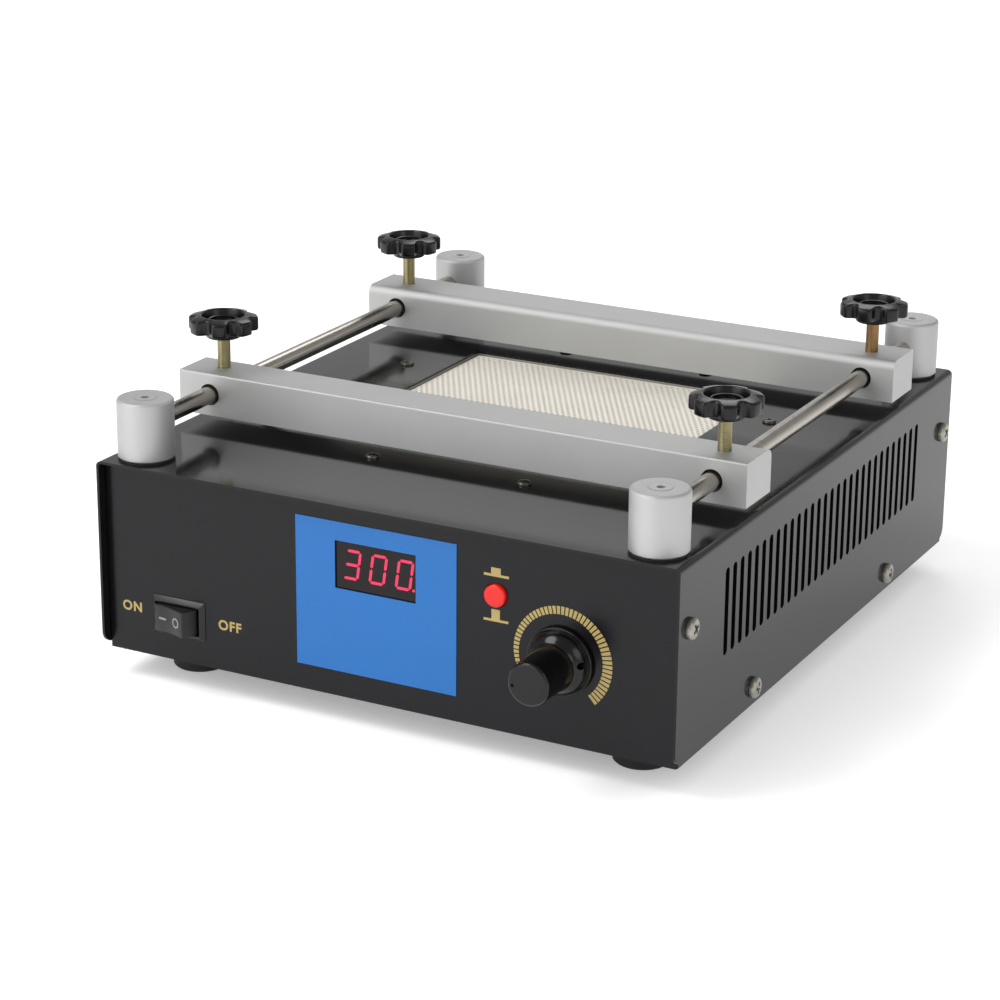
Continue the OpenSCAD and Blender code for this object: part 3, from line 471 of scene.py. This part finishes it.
# %% [markdown]
# The four posts are turned from bar stock: a small chamfer at the foot, a round rim that catches the light,
# and a countersunk hole in the top for the screw that holds the rod. One profile, four copies.

# %% Guide posts
post_low, post_high = low_corner("guide_posts"), high_corner("guide_posts")
POST_R, POST_CHAMFER, POST_EDGE = 12.6, 0.8, 1.6
POST_H = (post_high.z - post_low.z) / MM
profile = [(5.0, 0.0), (POST_R - POST_CHAMFER, 0.0), (POST_R, POST_CHAMFER), (POST_R, POST_H - POST_EDGE)]
for number in range(1, 7):
    angle = math.radians(15 * number)
    across = POST_R - POST_EDGE + POST_EDGE * math.cos(angle)
    profile.append((across, POST_H - POST_EDGE + POST_EDGE * math.sin(angle)))
profile += [(5.6, POST_H), (5.05, POST_H - 0.1), (2.55, POST_H - 2.6), (2.55, POST_H - 8.0)]
post = turned("post_master", profile, 72)
smooth(post, 40)
posts = []
for x in (post_low.x + POST_R * MM, post_high.x - POST_R * MM):
    for y in (post_low.y + POST_R * MM, post_high.y - POST_R * MM):
        posts.append(copy_of(post, "post", Matrix.Translation((x, y, post_low.z))))
bpy.data.objects.remove(post, do_unlink=True)
post_set = joined(posts, "turned_posts")
give(post_set, alloy, "housing")
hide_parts("guide_posts")

# %% [markdown]
# Each star knob is moulded: a disc with seven scallops on a short hub, softened edges, a raised rim, a
# ring-shaped recess and a small boss in the middle. The outline is found along each spoke and evened out a
# little, which rounds the lobes. The loft carries it from the hub to the rim, where it becomes a circle.
# TURNS says how far each knob was left turned, in degrees.

# %% Star knobs
LOBES = 7
SPOKES = LOBES * 24
STAR_R, SCALLOP_R = 15.8, 3.4
HUB_LOW, HUB_TOP = -1.8, 1.2
STAR_H, STAR_RIM_R, STAR_SLOPE = 8.7, 10.6, 0.26
EVENING_PASSES = 2


def star_radius(angle):
    between_lobes = math.pi / LOBES
    turn = (angle % (2 * between_lobes)) - between_lobes
    side = STAR_R * math.sin(turn)
    if abs(side) >= SCALLOP_R:
        return STAR_R
    return min(STAR_R, STAR_R * math.cos(turn) - math.sqrt(SCALLOP_R ** 2 - side ** 2))


star_radii = [star_radius(2 * math.pi * number / SPOKES) for number in range(SPOKES)]
for _ in range(EVENING_PASSES):
    star_radii = [
        (star_radii[number - 1] + 2 * star_radii[number] + star_radii[(number + 1) % SPOKES]) / 4
        for number in range(SPOKES)
    ]


def star_top(radius):
    return STAR_H - STAR_SLOPE * max(0, radius - STAR_RIM_R)


def star_ring(inset, foot_z=None, drop=0.0):
    ring = []
    for number, radius in enumerate(star_radii):
        angle = 2 * math.pi * number / SPOKES
        z = star_top(radius - inset) - drop if foot_z is None else foot_z
        across = (radius - inset) * MM
        ring.append((across * math.cos(angle), across * math.sin(angle), z * MM))
    return ring


star_rings = [circle(r * MM, z * MM, SPOKES) for r, z in (
    (4.0, HUB_LOW), (7.2, HUB_LOW), (7.6, HUB_LOW + 0.12), (7.9, HUB_LOW + 0.45),
    (8.8, HUB_TOP - 0.7), (9.2, HUB_TOP - 0.15), (9.8, HUB_TOP),
)]
star_rings += [star_ring(inset, foot_z=HUB_TOP + z) for inset, z in (
    (1.1, 0.02), (0.5, 0.15), (0.14, 0.5), (0, 1.0)
)]
star_rings += [star_ring(inset, drop=drop) for inset, drop in (
    (0, 1.0), (0.07, 0.58), (0.28, 0.24), (0.6, 0.06), (1.1, 0.0)
)]
star_rings += [circle(r * MM, z * MM, SPOKES) for r, z in (
    (10.6, 8.68), (10.2, 8.66), (9.85, 8.4), (9.6, 7.9), (9.5, 5.2), (9.2, 4.6), (8.6, 4.5), (7.7, 4.5),
    (7.4, 4.7), (7.25, 5.4), (7.2, 6.2), (6.95, 6.5), (6.3, 6.5), (6.0, 6.3), (5.9, 5.6), (5.8, 5.1),
    (5.2, 5.0), (1.0, 5.0)
)]
star = loft("star_master", star_rings)
smooth(star, 40)
TURNS = {"front_left": 38, "front_right": -11, "rear_left": -11, "rear_right": 17}
for end, turn in TURNS.items():
    node = "star_knob_" + end
    foot = middle(node)
    foot.z = low_corner(node).z
    spun = Matrix.Translation(foot) @ Matrix.Rotation(math.radians(turn), 4, "Z")
    knob = copy_of(star, "star_" + end, spun)
    give(knob, knob_plastic, "screw_" + end)
    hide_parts(node)
bpy.data.objects.remove(star, do_unlink=True)

# %% [markdown]
# The clamping studs are threaded rods in yellow-passivated zinc, 6 mm across with a turn each millimetre.
# Rings of crests and roots stand for the thread: at this size the eye can't tell them from a helix.

# %% Threaded studs
THREAD = 1.0
CREST_R, ROOT_R = 3.0, 2.88
for end in TURNS:
    node = "clamp_stud_" + end
    low, high = low_corner(node), high_corner(node)
    axis = middle(node)
    length = (high.z - low.z) / MM
    profile = [(2.0, 0.0), (2.7, 0.4)]
    z = 0.9
    while z < length - 0.6:
        profile += [(CREST_R, z), (CREST_R, z + 0.14), (ROOT_R, z + 0.5), (ROOT_R, z + 0.62)]
        z += THREAD
    profile += [(2.7, length - 0.1), (2.4, length)]
    profile = [(r, min(h, length)) for r, h in profile]
    stud = turned("threaded_stud_" + end, profile, 28)
    settle(stud, Matrix.Translation((axis.x, axis.y, low.z)))
    smooth(stud, 50)
    give(stud, brown_zinc if end == "rear_right" else yellow_zinc, "screw_" + end)
    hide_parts(node)

# %% [markdown]
# Pan-head screws hold the side panels and the heater. One head is turned, its cross recess is cut with a
# tapering plus sign, and copies go to every place, each turned a little differently, as real ones are.
# islands() finds the screws of a solid in the order of its points, so every run turns them alike.

# %% Screws
def plus_ring(half, arm, z):
    outline = [
        (half, -arm), (half, arm), (arm, arm), (arm, half), (-arm, half), (-arm, arm),
        (-half, arm), (-half, -arm), (-arm, -arm), (-arm, -half), (arm, -half), (arm, -arm),
    ]
    return [(x * MM, y * MM, z * MM) for x, y in outline]


def pan_head(name, radius, height):
    head = turned(name, [
        (radius * 0.5, -0.4), (radius * 0.5, 0.0), (radius * 0.96, 0.0), (radius, 0.1),
        (radius, height * 0.45), (radius * 0.96, height * 0.66), (radius * 0.87, height * 0.83),
        (radius * 0.7, height * 0.94), (radius * 0.45, height * 0.99), (radius * 0.1, height),
    ], 32)
    cross = loft("cross_cutter", [
        plus_ring(radius * 0.26, radius * 0.09, height * 0.2),
        plus_ring(radius * 0.6, radius * 0.17, height * 1.1),
    ])
    cut(head, cross)
    smooth(head, 35)
    return head


def islands(node):
    mesh = bmesh.new()
    mesh.from_mesh(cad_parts[node].data)
    bmesh.ops.remove_doubles(mesh, verts=mesh.verts, dist=0.001 * MM)
    left = dict.fromkeys(mesh.verts)
    groups = []
    while left:
        stack = [left.popitem()[0]]
        group = []
        while stack:
            vert = stack.pop()
            group.append(vert.co.copy())
            for edge in vert.link_edges:
                other = edge.other_vert(vert)
                if other in left:
                    del left[other]
                    stack.append(other)
        groups.append(group)
    mesh.free()
    return groups


SIDE_TWIST, TOP_TWIST = 0.7, 0.9
side_head = pan_head("side_head", 4.7, 2.8)
top_head = pan_head("top_head", 3.2, 1.3)
side_heads = []
top_heads = []
for number, group in enumerate(islands("side_screws")):
    centre = sum(group, Vector()) / len(group)
    outward = 1 if centre.x > 0 else -1
    edge_x = high_corner("top_cover").x * outward
    lie = Matrix.Rotation(math.radians(90 * outward), 4, "Y") @ Matrix.Rotation(number * SIDE_TWIST, 4, "Z")
    side_heads.append(copy_of(side_head, "side", Matrix.Translation((edge_x, centre.y, centre.z)) @ lie))
for number, group in enumerate(islands("top_screws")):
    centre = sum(group, Vector()) / len(group)
    lie = Matrix.Rotation(number * TOP_TWIST, 4, "Z")
    top_heads.append(copy_of(top_head, "top", Matrix.Translation((centre.x, centre.y, TOP_Z)) @ lie))
for spare in (side_head, top_head):
    bpy.data.objects.remove(spare, do_unlink=True)
side_set = joined(side_heads, "side_pan_heads")
top_set = joined(top_heads, "top_pan_heads")
for piece, node, plating in ((side_set, "side_screws", dull_zinc), (top_set, "top_screws", dark_zinc)):
    give(piece, plating, "housing")
    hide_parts(node)

# %% [markdown]
# The rocker switch has a bezel with a sloping edge around a deep well. The rocker is a shallow V that turns
# on a pin, so one half lies level with the bezel while the other stands out. Its profile is drawn in plan,
# extruded to its height and its edges are rounded with a bevel.

# %% Rocker switch
bezel_low, bezel_high = low_corner("rocker_housing"), high_corner("rocker_housing")
bezel_mid = middle("rocker_housing")
BEZEL_X = (bezel_high.x - bezel_low.x) / 2 / MM
BEZEL_Z = (bezel_high.z - bezel_low.z) / 2 / MM
WELL_X, WELL_Z, WELL_DEPTH = 11.4, 6.4, 9
NECK, NECK_L = 1.7, 20
LIP, SLOPE, STAND = 0.3, 1.9, 2.0


def bezel_ring(half_x, half_z, back):
    y = PANEL_Y + back * MM
    return [(bezel_mid.x + sx * half_x * MM, y, bezel_mid.z + sz * half_z * MM) for sx, sz in CORNERS]


bezel = loft("rocker_bezel", [
    bezel_ring(BEZEL_X - NECK, BEZEL_Z - NECK, NECK_L),
    bezel_ring(BEZEL_X - NECK, BEZEL_Z - NECK, 0),
    bezel_ring(BEZEL_X, BEZEL_Z, 0),
    bezel_ring(BEZEL_X, BEZEL_Z, -LIP),
    bezel_ring(BEZEL_X - SLOPE, BEZEL_Z - SLOPE, -STAND),
    bezel_ring(WELL_X, WELL_Z, -STAND),
    bezel_ring(WELL_X, WELL_Z, WELL_DEPTH),
])
soften(bezel, 0.3, 30)
smooth(bezel, 40)
give(bezel, switch_plastic, "housing")
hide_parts("rocker_housing")

# %% The rocker and its marks
TILT, VEE = math.radians(14), math.radians(6)
PIN = Vector((bezel_mid.x, PANEL_Y + 0.8 * MM, bezel_mid.z))
KEY_FACE, KEY_FOOT, KEY_Z, VALLEY = 8.8, 10.6, 6.0, 6.3
MARK_LOW, MARK_HIGH = 0.02, 0.07


def key_y(x):
    return -VALLEY - abs(x) * math.tan(VEE)


plan = [(x, key_y(x)) for x in (-KEY_FACE, -4.4, 0, 4.4, KEY_FACE)]
plan += [(KEY_FOOT, 0.5), (4.5, 4.5), (-4.5, 4.5), (-KEY_FOOT, 0.5)]
key = loft("rocker_key", [[(x * MM, y * MM, z * MM) for x, y in plan] for z in (-KEY_Z, KEY_Z)])
soften(key, 0.5, 40)
tipped = Matrix.Translation(PIN) @ Matrix.Rotation(-TILT, 4, "Z")
settle(key, tipped)
smooth(key, 30)
give(key, switch_plastic, "rocker")
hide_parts("rocker")


def on_key(outline, lift):
    return [tipped @ Vector((x * MM, (key_y(x) - lift) * MM, z * MM)) for x, z in outline]


dash_line = [(-6.2, -0.5), (-2.2, -0.5), (-2.2, 0.5), (-6.2, 0.5)]
dash = loft("key_dash", [on_key(dash_line, MARK_LOW), on_key(dash_line, MARK_HIGH)])
ZERO_X, ZERO_POINTS = 4.1, 28
around = [2 * math.pi * number / ZERO_POINTS for number in range(ZERO_POINTS)]
outer = [(ZERO_X + 2.2 * math.cos(angle), 2.35 * math.sin(angle)) for angle in around]
inner = [(ZERO_X + 1.45 * math.cos(angle), 1.6 * math.sin(angle)) for angle in around]
zero = loft("key_zero", [
    on_key(outer, MARK_LOW), on_key(outer, MARK_HIGH), on_key(inner, MARK_HIGH), on_key(inner, MARK_LOW),
    on_key(outer, MARK_LOW),
], caps=False)
weld(zero)
marks = joined([dash, zero], "rocker_marks")
give(marks, grey_ink, "rocker")

# %% [markdown]
# The push button is a small red cap with a rounded edge and a slightly domed face on a stem. The
# temperature knob is turned from black plastic: a thin flange, a skirt that rises as a dome and a slim
# grip, with a hole for its set screw and a dimple near the rim of its face that shows where it points.

# %% Button and knob
forward = Matrix.Rotation(math.radians(90), 4, "X")
cap_low, cap_high = low_corner("button_cap"), high_corner("button_cap")
cap_mid = middle("button_cap")
cap_l = (cap_high.y - cap_low.y) / MM
button = turned("red_cap", [
    (2.4, 0.0), (2.5, 0.3), (2.5, cap_l - 8.2), (4.8, cap_l - 8.2), (5.0, cap_l - 8.0), (5.0, cap_l - 0.9),
    (4.85, cap_l - 0.5), (4.5, cap_l - 0.22), (4.0, cap_l - 0.1), (2.6, cap_l - 0.02), (0.6, cap_l),
], 40)
settle(button, Matrix.Translation((cap_mid.x, cap_high.y, cap_mid.z)) @ forward)
smooth(button, 40)
give(button, red_plastic, "button")
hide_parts("button_cap")

dial_low, dial_high = low_corner("temperature_knob"), high_corner("temperature_knob")
dial_mid = middle("temperature_knob")
DIAL_L = (dial_high.y - dial_low.y) / MM
dial = turned("temperature_dial", [
    (7.4, 0.0), (14.8, 0.0), (15.0, 0.2), (15.0, 1.3), (14.85, 1.6), (14.45, 1.8), (14.2, 2.3),
    (13.95, 3.4), (13.5, 4.5), (12.9, 5.5), (12.2, 6.4), (11.4, 7.2), (10.7, 7.8), (10.2, 8.5), (9.95, 9.4),
    (9.35, DIAL_L - 1.3), (9.2, DIAL_L - 0.7), (8.9, DIAL_L - 0.3),
    (8.4, DIAL_L - 0.06), (7.8, DIAL_L), (5.0, DIAL_L - 0.04), (0.6, DIAL_L - 0.06),
], 72)
SCREW_TURN, SCREW_UP = math.radians(10), 5.8 * MM
DIMPLE_TURN, DIMPLE_AT = math.radians(191), 6.9 * MM
hole = turned("screw_hole", [(1.55, 7.0), (1.55, 16.0)], 24)
sideways = Matrix.Rotation(SCREW_TURN, 4, "Z") @ Matrix.Translation((0, 0, SCREW_UP))
settle(hole, sideways @ Matrix.Rotation(math.radians(90), 4, "Y"))
cut(dial, hole)
dimple = turned("dimple", [(0.5, DIAL_L - 0.8), (0.95, DIAL_L + 0.7)], 20)
settle(dimple, Matrix.Rotation(DIMPLE_TURN, 4, "Z") @ Matrix.Translation((DIMPLE_AT, 0, 0)))
cut(dial, dimple)
settle(dial, Matrix.Translation((dial_mid.x, dial_high.y, dial_mid.z)) @ forward)
smooth(dial, 35)
give(dial, dial_plastic, "dial")
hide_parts("temperature_knob")

# %% [markdown]
# The panel is screen-printed in gold. A scale of radial ticks runs around the knob and grows wider towards
# the hot end, small signs above and below the button show its two states, and the switch is marked on and
# off. Prints are plates thinner than paper that lie on the paint.

# %% Panel print
INK, BOLDER = 0.04 * MM, 0.2 * MM
LETTER_SIZE, LETTER_SPACE = 6.2 * MM, 1.15


def panel_shape(name, outline):
    return flat_print(name, outline, PANEL_Y, PANEL_Y - INK)


def bar_shape(name, x0, x1, z0, z1):
    x0, x1 = x0 * MM, x1 * MM
    z0, z1 = BODY_Z + z0 * MM, BODY_Z + z1 * MM
    return panel_shape(name, [(x0, z0), (x1, z0), (x1, z1), (x0, z1)])


START, END, STEP = 198.0, -46.0, 5.2
NEAR_R, NEAR_GROWTH = 19.6, 0.8
FAR_R, FAR_GROWTH = 21.3, 2.2
HALF_TICK = 0.36
SIGNS = (
    ("state_out_base", 49.55, 61.2, 68.4, 69.5),
    ("state_out_stem", 52.9, 57.35, 69.5, 72.3),
    ("state_in_base", 49.55, 61.1, 48.6, 49.7),
    ("state_in_stem", 53.2, 57.15, 49.7, 54.0),
)
scale_mid = Vector((dial_mid.x, 0, dial_mid.z + 0.9 * MM))


def on_scale(radius, angle):
    return (scale_mid.x + radius * MM * math.cos(angle), scale_mid.z + radius * MM * math.sin(angle))


shapes = []
count = round((START - END) / STEP)
half = math.radians(STEP * HALF_TICK)
for number in range(count + 1):
    share = number / count
    angle = math.radians(START + (END - START) * share)
    far = FAR_R + FAR_GROWTH * math.sqrt(share)
    near = NEAR_R - NEAR_GROWTH * share
    corners = [(near, angle - half), (far, angle - half), (far, angle + half), (near, angle + half)]
    shapes.append(panel_shape("tick", [on_scale(radius, side) for radius, side in corners]))
for sign in SIGNS:
    shapes.append(bar_shape(*sign))


def word(text, x, z):
    clear_selection()
    bpy.ops.object.text_add()
    letters = bpy.context.object
    letters.data.body = text
    letters.data.size = LETTER_SIZE
    letters.data.align_x = "CENTER"
    letters.data.align_y = "CENTER"
    letters.data.extrude = INK / 2
    letters.data.offset = BOLDER
    letters.data.space_character = LETTER_SPACE
    bpy.ops.object.convert(target="MESH")
    letters = bpy.context.object
    return settle(letters, Matrix.Translation((x * MM, PANEL_Y - INK / 2, BODY_Z + z * MM)) @ forward)


shapes.append(word("ON", -126.5, 21.2))
shapes.append(word("OFF", -75.5, 21.1))
prints = joined(shapes, "gold_panel_print")
give(prints, gold_ink, "housing")

# %% [markdown]
# The display is the common type with three digits of seven segments, leaning a little to the right, behind
# a smoky pane that fills the window. One list says which segments of a figure are lit. The lit bars glow
# and the others only show their tint. They lie on the front of the pane, shifted to where the camera would
# see them behind it.

# %% Digits
FIGURES = {"0": "abcdef", "3": "abcdg"}
DISPLAY_Y = low_corner("led_display").y
display_mid = middle("led_display")
PANE_X, PANE_Z = 19.5, 10.65
DIGIT_W, DIGIT_H, DIGIT_STEP, BAR, BAR_GAP = 6.6, 12.4, 12.7, 1.25, 0.22
DOT_X, DOT_R, DOT_POINTS = 5.2, 0.65, 16
GLOW = 0.05 * MM
SHIFT_X, SHIFT_Z = 0.6, 0.34
LEAN = math.tan(math.radians(8))
SEGMENTS = {
    "a": (0, DIGIT_H / 2, 0), "g": (0, 0, 0), "d": (0, -DIGIT_H / 2, 0),
    "f": (-DIGIT_W / 2, DIGIT_H / 4, 1), "b": (DIGIT_W / 2, DIGIT_H / 4, 1),
    "e": (-DIGIT_W / 2, -DIGIT_H / 4, 1), "c": (DIGIT_W / 2, -DIGIT_H / 4, 1),
}


def pane_ring(inset, y):
    x, z = (PANE_X - inset) * MM, (PANE_Z - inset) * MM
    return [(display_mid.x + sx * x, y, display_mid.z + sz * z) for sx, sz in CORNERS]


PANE_Y = PANEL_Y + 0.5 * MM
FORWARD = (DISPLAY_Y - PANE_Y) / MM - 0.4
print("the pane fills", round((DISPLAY_Y - PANE_Y) / MM, 2), "mm of the window")
pane = loft("display_pane", [
    pane_ring(0, DISPLAY_Y), pane_ring(0, PANE_Y + 0.1 * MM), pane_ring(0.1, PANE_Y)
])
give(pane, display_face, "housing")


def on_display(x, z):
    seen_x = x + z * LEAN + SHIFT_X * FORWARD
    seen_z = z + SHIFT_Z * FORWARD
    return (display_mid.x + seen_x * MM, display_mid.z + seen_z * MM)


def segment(name, centre, spot):
    x, z, upright = spot
    reach = (DIGIT_H / 4 if upright else DIGIT_W / 2) - BAR_GAP
    wide = BAR / 2
    along = [(-reach, 0), (-reach + wide, wide), (reach - wide, wide)]
    along += [(-u, -v) for u, v in along]
    if upright:
        along = [(v, u) for u, v in along]
    outline = [on_display(centre + x + u, z + v) for u, v in along]
    return flat_print(name, outline, PANE_Y, PANE_Y - GLOW)


lit_bars, dim_bars = [], []
for centre, figure in ((-DIGIT_STEP, "3"), (0.0, "0"), (DIGIT_STEP, "0")):
    for letter, spot in SEGMENTS.items():
        bar = segment("segment", centre, spot)
        (lit_bars if letter in FIGURES[figure] else dim_bars).append(bar)
    dot = []
    for number in range(DOT_POINTS):
        angle = 2 * math.pi * number / DOT_POINTS
        x = centre + DOT_X + DOT_R * math.cos(angle)
        dot.append(on_display(x, -DIGIT_H / 2 + DOT_R * math.sin(angle)))
    point = flat_print("point", dot, PANE_Y, PANE_Y - GLOW)
    (lit_bars if centre == DIGIT_STEP else dim_bars).append(point)
glow = joined(lit_bars, "lit_digits")
dim = joined(dim_bars, "unlit_digits")
give(glow, lit, "housing")
give(dim, unlit, "housing")

# %% [markdown]
# On the back, the mains inlet gets three nickel-plated contacts with chamfered tips, and the fuse holder a
# turned cap with a slot for a screwdriver.

# %% Inlet and fuse
inlet_mid = middle("power_inlet")
SOCKET_DEPTH = 17 * MM
SOCKET_Y = high_corner("power_inlet").y - SOCKET_DEPTH
contacts = []
for x, z in ((-7, -2), (0, 2), (7, -2)):
    rings = []
    for half_x, half_z, reach in ((1.05, 2.05, 0.0), (1.05, 2.05, 12.4), (0.6, 1.5, 13.1)):
        y = SOCKET_Y + reach * MM
        rings.append([
            (inlet_mid.x + (x + sx * half_x) * MM, y, inlet_mid.z + (z + sz * half_z) * MM)
            for sx, sz in CORNERS
        ])
    contacts.append(loft("contact", rings))
contact_set = joined(contacts, "inlet_contacts")
give(contact_set, zinc, "housing")

fuse_low, fuse_high = low_corner("fuse_holder"), high_corner("fuse_holder")
fuse_mid = middle("fuse_holder")
FUSE_L = (fuse_high.y - fuse_low.y) / MM
fuse = turned("fuse_cap", [
    (5.6, 0.0), (6.0, 0.4), (6.0, FUSE_L - 9), (8.0, FUSE_L - 9), (8.0, FUSE_L - 6.6), (7.5, FUSE_L - 6),
    (6.0, FUSE_L - 6), (6.0, FUSE_L - 0.8), (5.7, FUSE_L - 0.25), (5.1, FUSE_L), (0.6, FUSE_L),
], 48)
slot_line = [(-4, -0.6), (4, -0.6), (4, 0.6), (-4, 0.6)]
slot = loft("slot", [[(x * MM, y * MM, z * MM) for x, y in slot_line] for z in (FUSE_L - 1.6, FUSE_L + 1)])
cut(fuse, slot)
backward = Matrix.Rotation(math.radians(-90), 4, "X")
settle(fuse, Matrix.Translation((fuse_mid.x, fuse_low.y, fuse_mid.z)) @ backward)
smooth(fuse, 35)
give(fuse, switch_plastic, "housing")
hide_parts("fuse_holder")

# %% [markdown]
# The camera stands where the photographer stood. Its place, tilt and focal length come from a fit of the
# body's edges, so it is written down as plain numbers. The picture is square, with a 36 mm sensor.

# %% Camera
AZIMUTH, ELEVATION, ROLL = 0.4830016, 0.3333460, 0.0089053
CAMERA_AT = Vector((0.577550, -1.138698, 0.502939))
FOCAL_PIXELS, PICTURE_PIXELS, SENSOR_MM = 2920.177, 1000, 36
ahead = Vector((
    -math.sin(AZIMUTH) * math.cos(ELEVATION), math.cos(AZIMUTH) * math.cos(ELEVATION), -math.sin(ELEVATION)
))
level = Vector((math.cos(AZIMUTH), math.sin(AZIMUTH), 0))
upward = level.cross(ahead)
right = level * math.cos(ROLL) + upward * math.sin(ROLL)
up = -level * math.sin(ROLL) + upward * math.cos(ROLL)
clear_selection()
bpy.ops.object.camera_add()
camera = bpy.context.object
camera.name = "photo_camera"
camera.data.sensor_width = SENSOR_MM
camera.data.lens = FOCAL_PIXELS * SENSOR_MM / PICTURE_PIXELS
turn = Matrix((right, up, -ahead)).transposed().to_4x4()
camera.matrix_world = Matrix.Translation(CAMERA_AT) @ turn
bpy.context.scene.camera = camera
print("camera lens", round(camera.data.lens, 2), "mm")

# %% [markdown]
# A product photograph is lit by large soft sources. The world is white where the camera and glossy surfaces
# look towards the horizon and greyer overhead, as in a room with a pale backdrop and a darker ceiling. Four
# area lamps give the front, the tops and the right side their shape. The floor is pale and keeps the
# shadow. seen_directly() is 1 for what the camera sees, mirrored or not, and 0 for light that spreads.

# %% Room, lamps and floor
WHITE = (1, 1, 1, 1)
LAMP_TARGET = Vector((0, 0, 0.1))


def seen_directly(tree):
    ray = add(tree, "ShaderNodeLightPath").outputs
    direct = {0: ray["Is Camera Ray"], 1: ray["Is Glossy Ray"]}
    seen = add(tree, "ShaderNodeMath", direct, operation="MAXIMUM")
    through = {0: seen.outputs[0], 1: ray["Is Transmission Ray"]}
    return add(tree, "ShaderNodeMath", through, operation="MAXIMUM").outputs[0]


world = bpy.data.worlds.new("pale_room")
bpy.context.scene.world = world
world.use_nodes = True
tree = world.node_tree
tree.nodes.clear()
look = add(tree, "ShaderNodeTexCoord").outputs["Generated"]
height = add(tree, "ShaderNodeSeparateXYZ", {"Vector": look}).outputs["Z"]
sky = add(tree, "ShaderNodeMapRange", {
    "Value": height, "From Min": 0.02, "From Max": 0.36, "To Min": 1.0, "To Max": 0.4
}, interpolation_type="SMOOTHSTEP")
backdrop = add(tree, "ShaderNodeBackground", {"Color": WHITE, "Strength": sky.outputs["Result"]})
ambient = add(tree, "ShaderNodeBackground", {"Color": WHITE, "Strength": 0.68})
mixed = add(tree, "ShaderNodeMixShader", {
    0: seen_directly(tree), 1: ambient.outputs["Background"], 2: backdrop.outputs["Background"]
})
add(tree, "ShaderNodeOutputWorld", {"Surface": mixed.outputs["Shader"]})


def lamp(name, spot, size, watts):
    clear_selection()
    bpy.ops.object.light_add(type="AREA", location=spot)
    light = bpy.context.object
    light.name = name
    light.data.shape = "DISK"
    light.data.size = size
    light.data.energy = watts
    light.rotation_euler = (LAMP_TARGET - Vector(spot)).to_track_quat("-Z", "Y").to_euler()


lamp("front_softbox", (-1.1, -2.3, 1.05), 2.4, 21)
lamp("rear_softbox", (-0.45, 1.35, 1.35), 0.8, 4.5)
lamp("overhead_softbox", (-0.8, -0.7, 1.4), 0.9, 11)
lamp("right_softbox", (1.5, -0.6, 0.9), 1.0, 4)

clear_selection()
bpy.ops.mesh.primitive_plane_add(size=8)
floor = bpy.context.object
floor.name = "floor"
paper = bpy.data.materials.new("pale_paper_floor")
paper.use_nodes = True
tree = paper.node_tree
tree.nodes.clear()
place = add(tree, "ShaderNodeTexCoord").outputs["Object"]
fleck = add(tree, "ShaderNodeTexNoise", {"Vector": place, "Scale": 1 / (60 * MM), "Detail": 2.0})
shade = add(tree, "ShaderNodeMix", {"Factor": fleck.outputs["Fac"]}, data_type="RGBA")
shade.inputs["A"].default_value = linear("#f4f4f4")
shade.inputs["B"].default_value = linear("#f8f8f8")
matt = add(tree, "ShaderNodeBsdfDiffuse", {"Color": shade.outputs["Result"]})
lift_light = add(tree, "ShaderNodeEmission", {"Color": WHITE, "Strength": 0.3})
plus = add(tree, "ShaderNodeAddShader", {0: matt.outputs["BSDF"], 1: lift_light.outputs["Emission"]})
both = add(tree, "ShaderNodeMixShader", {
    0: seen_directly(tree), 1: matt.outputs["BSDF"], 2: plus.outputs["Shader"]
})
add(tree, "ShaderNodeOutputMaterial", {"Surface": both.outputs["Shader"]})
floor.data.materials.append(paper)

# %% View and size
bpy.context.scene.view_settings.view_transform = "Standard"
bpy.context.view_layer.update()
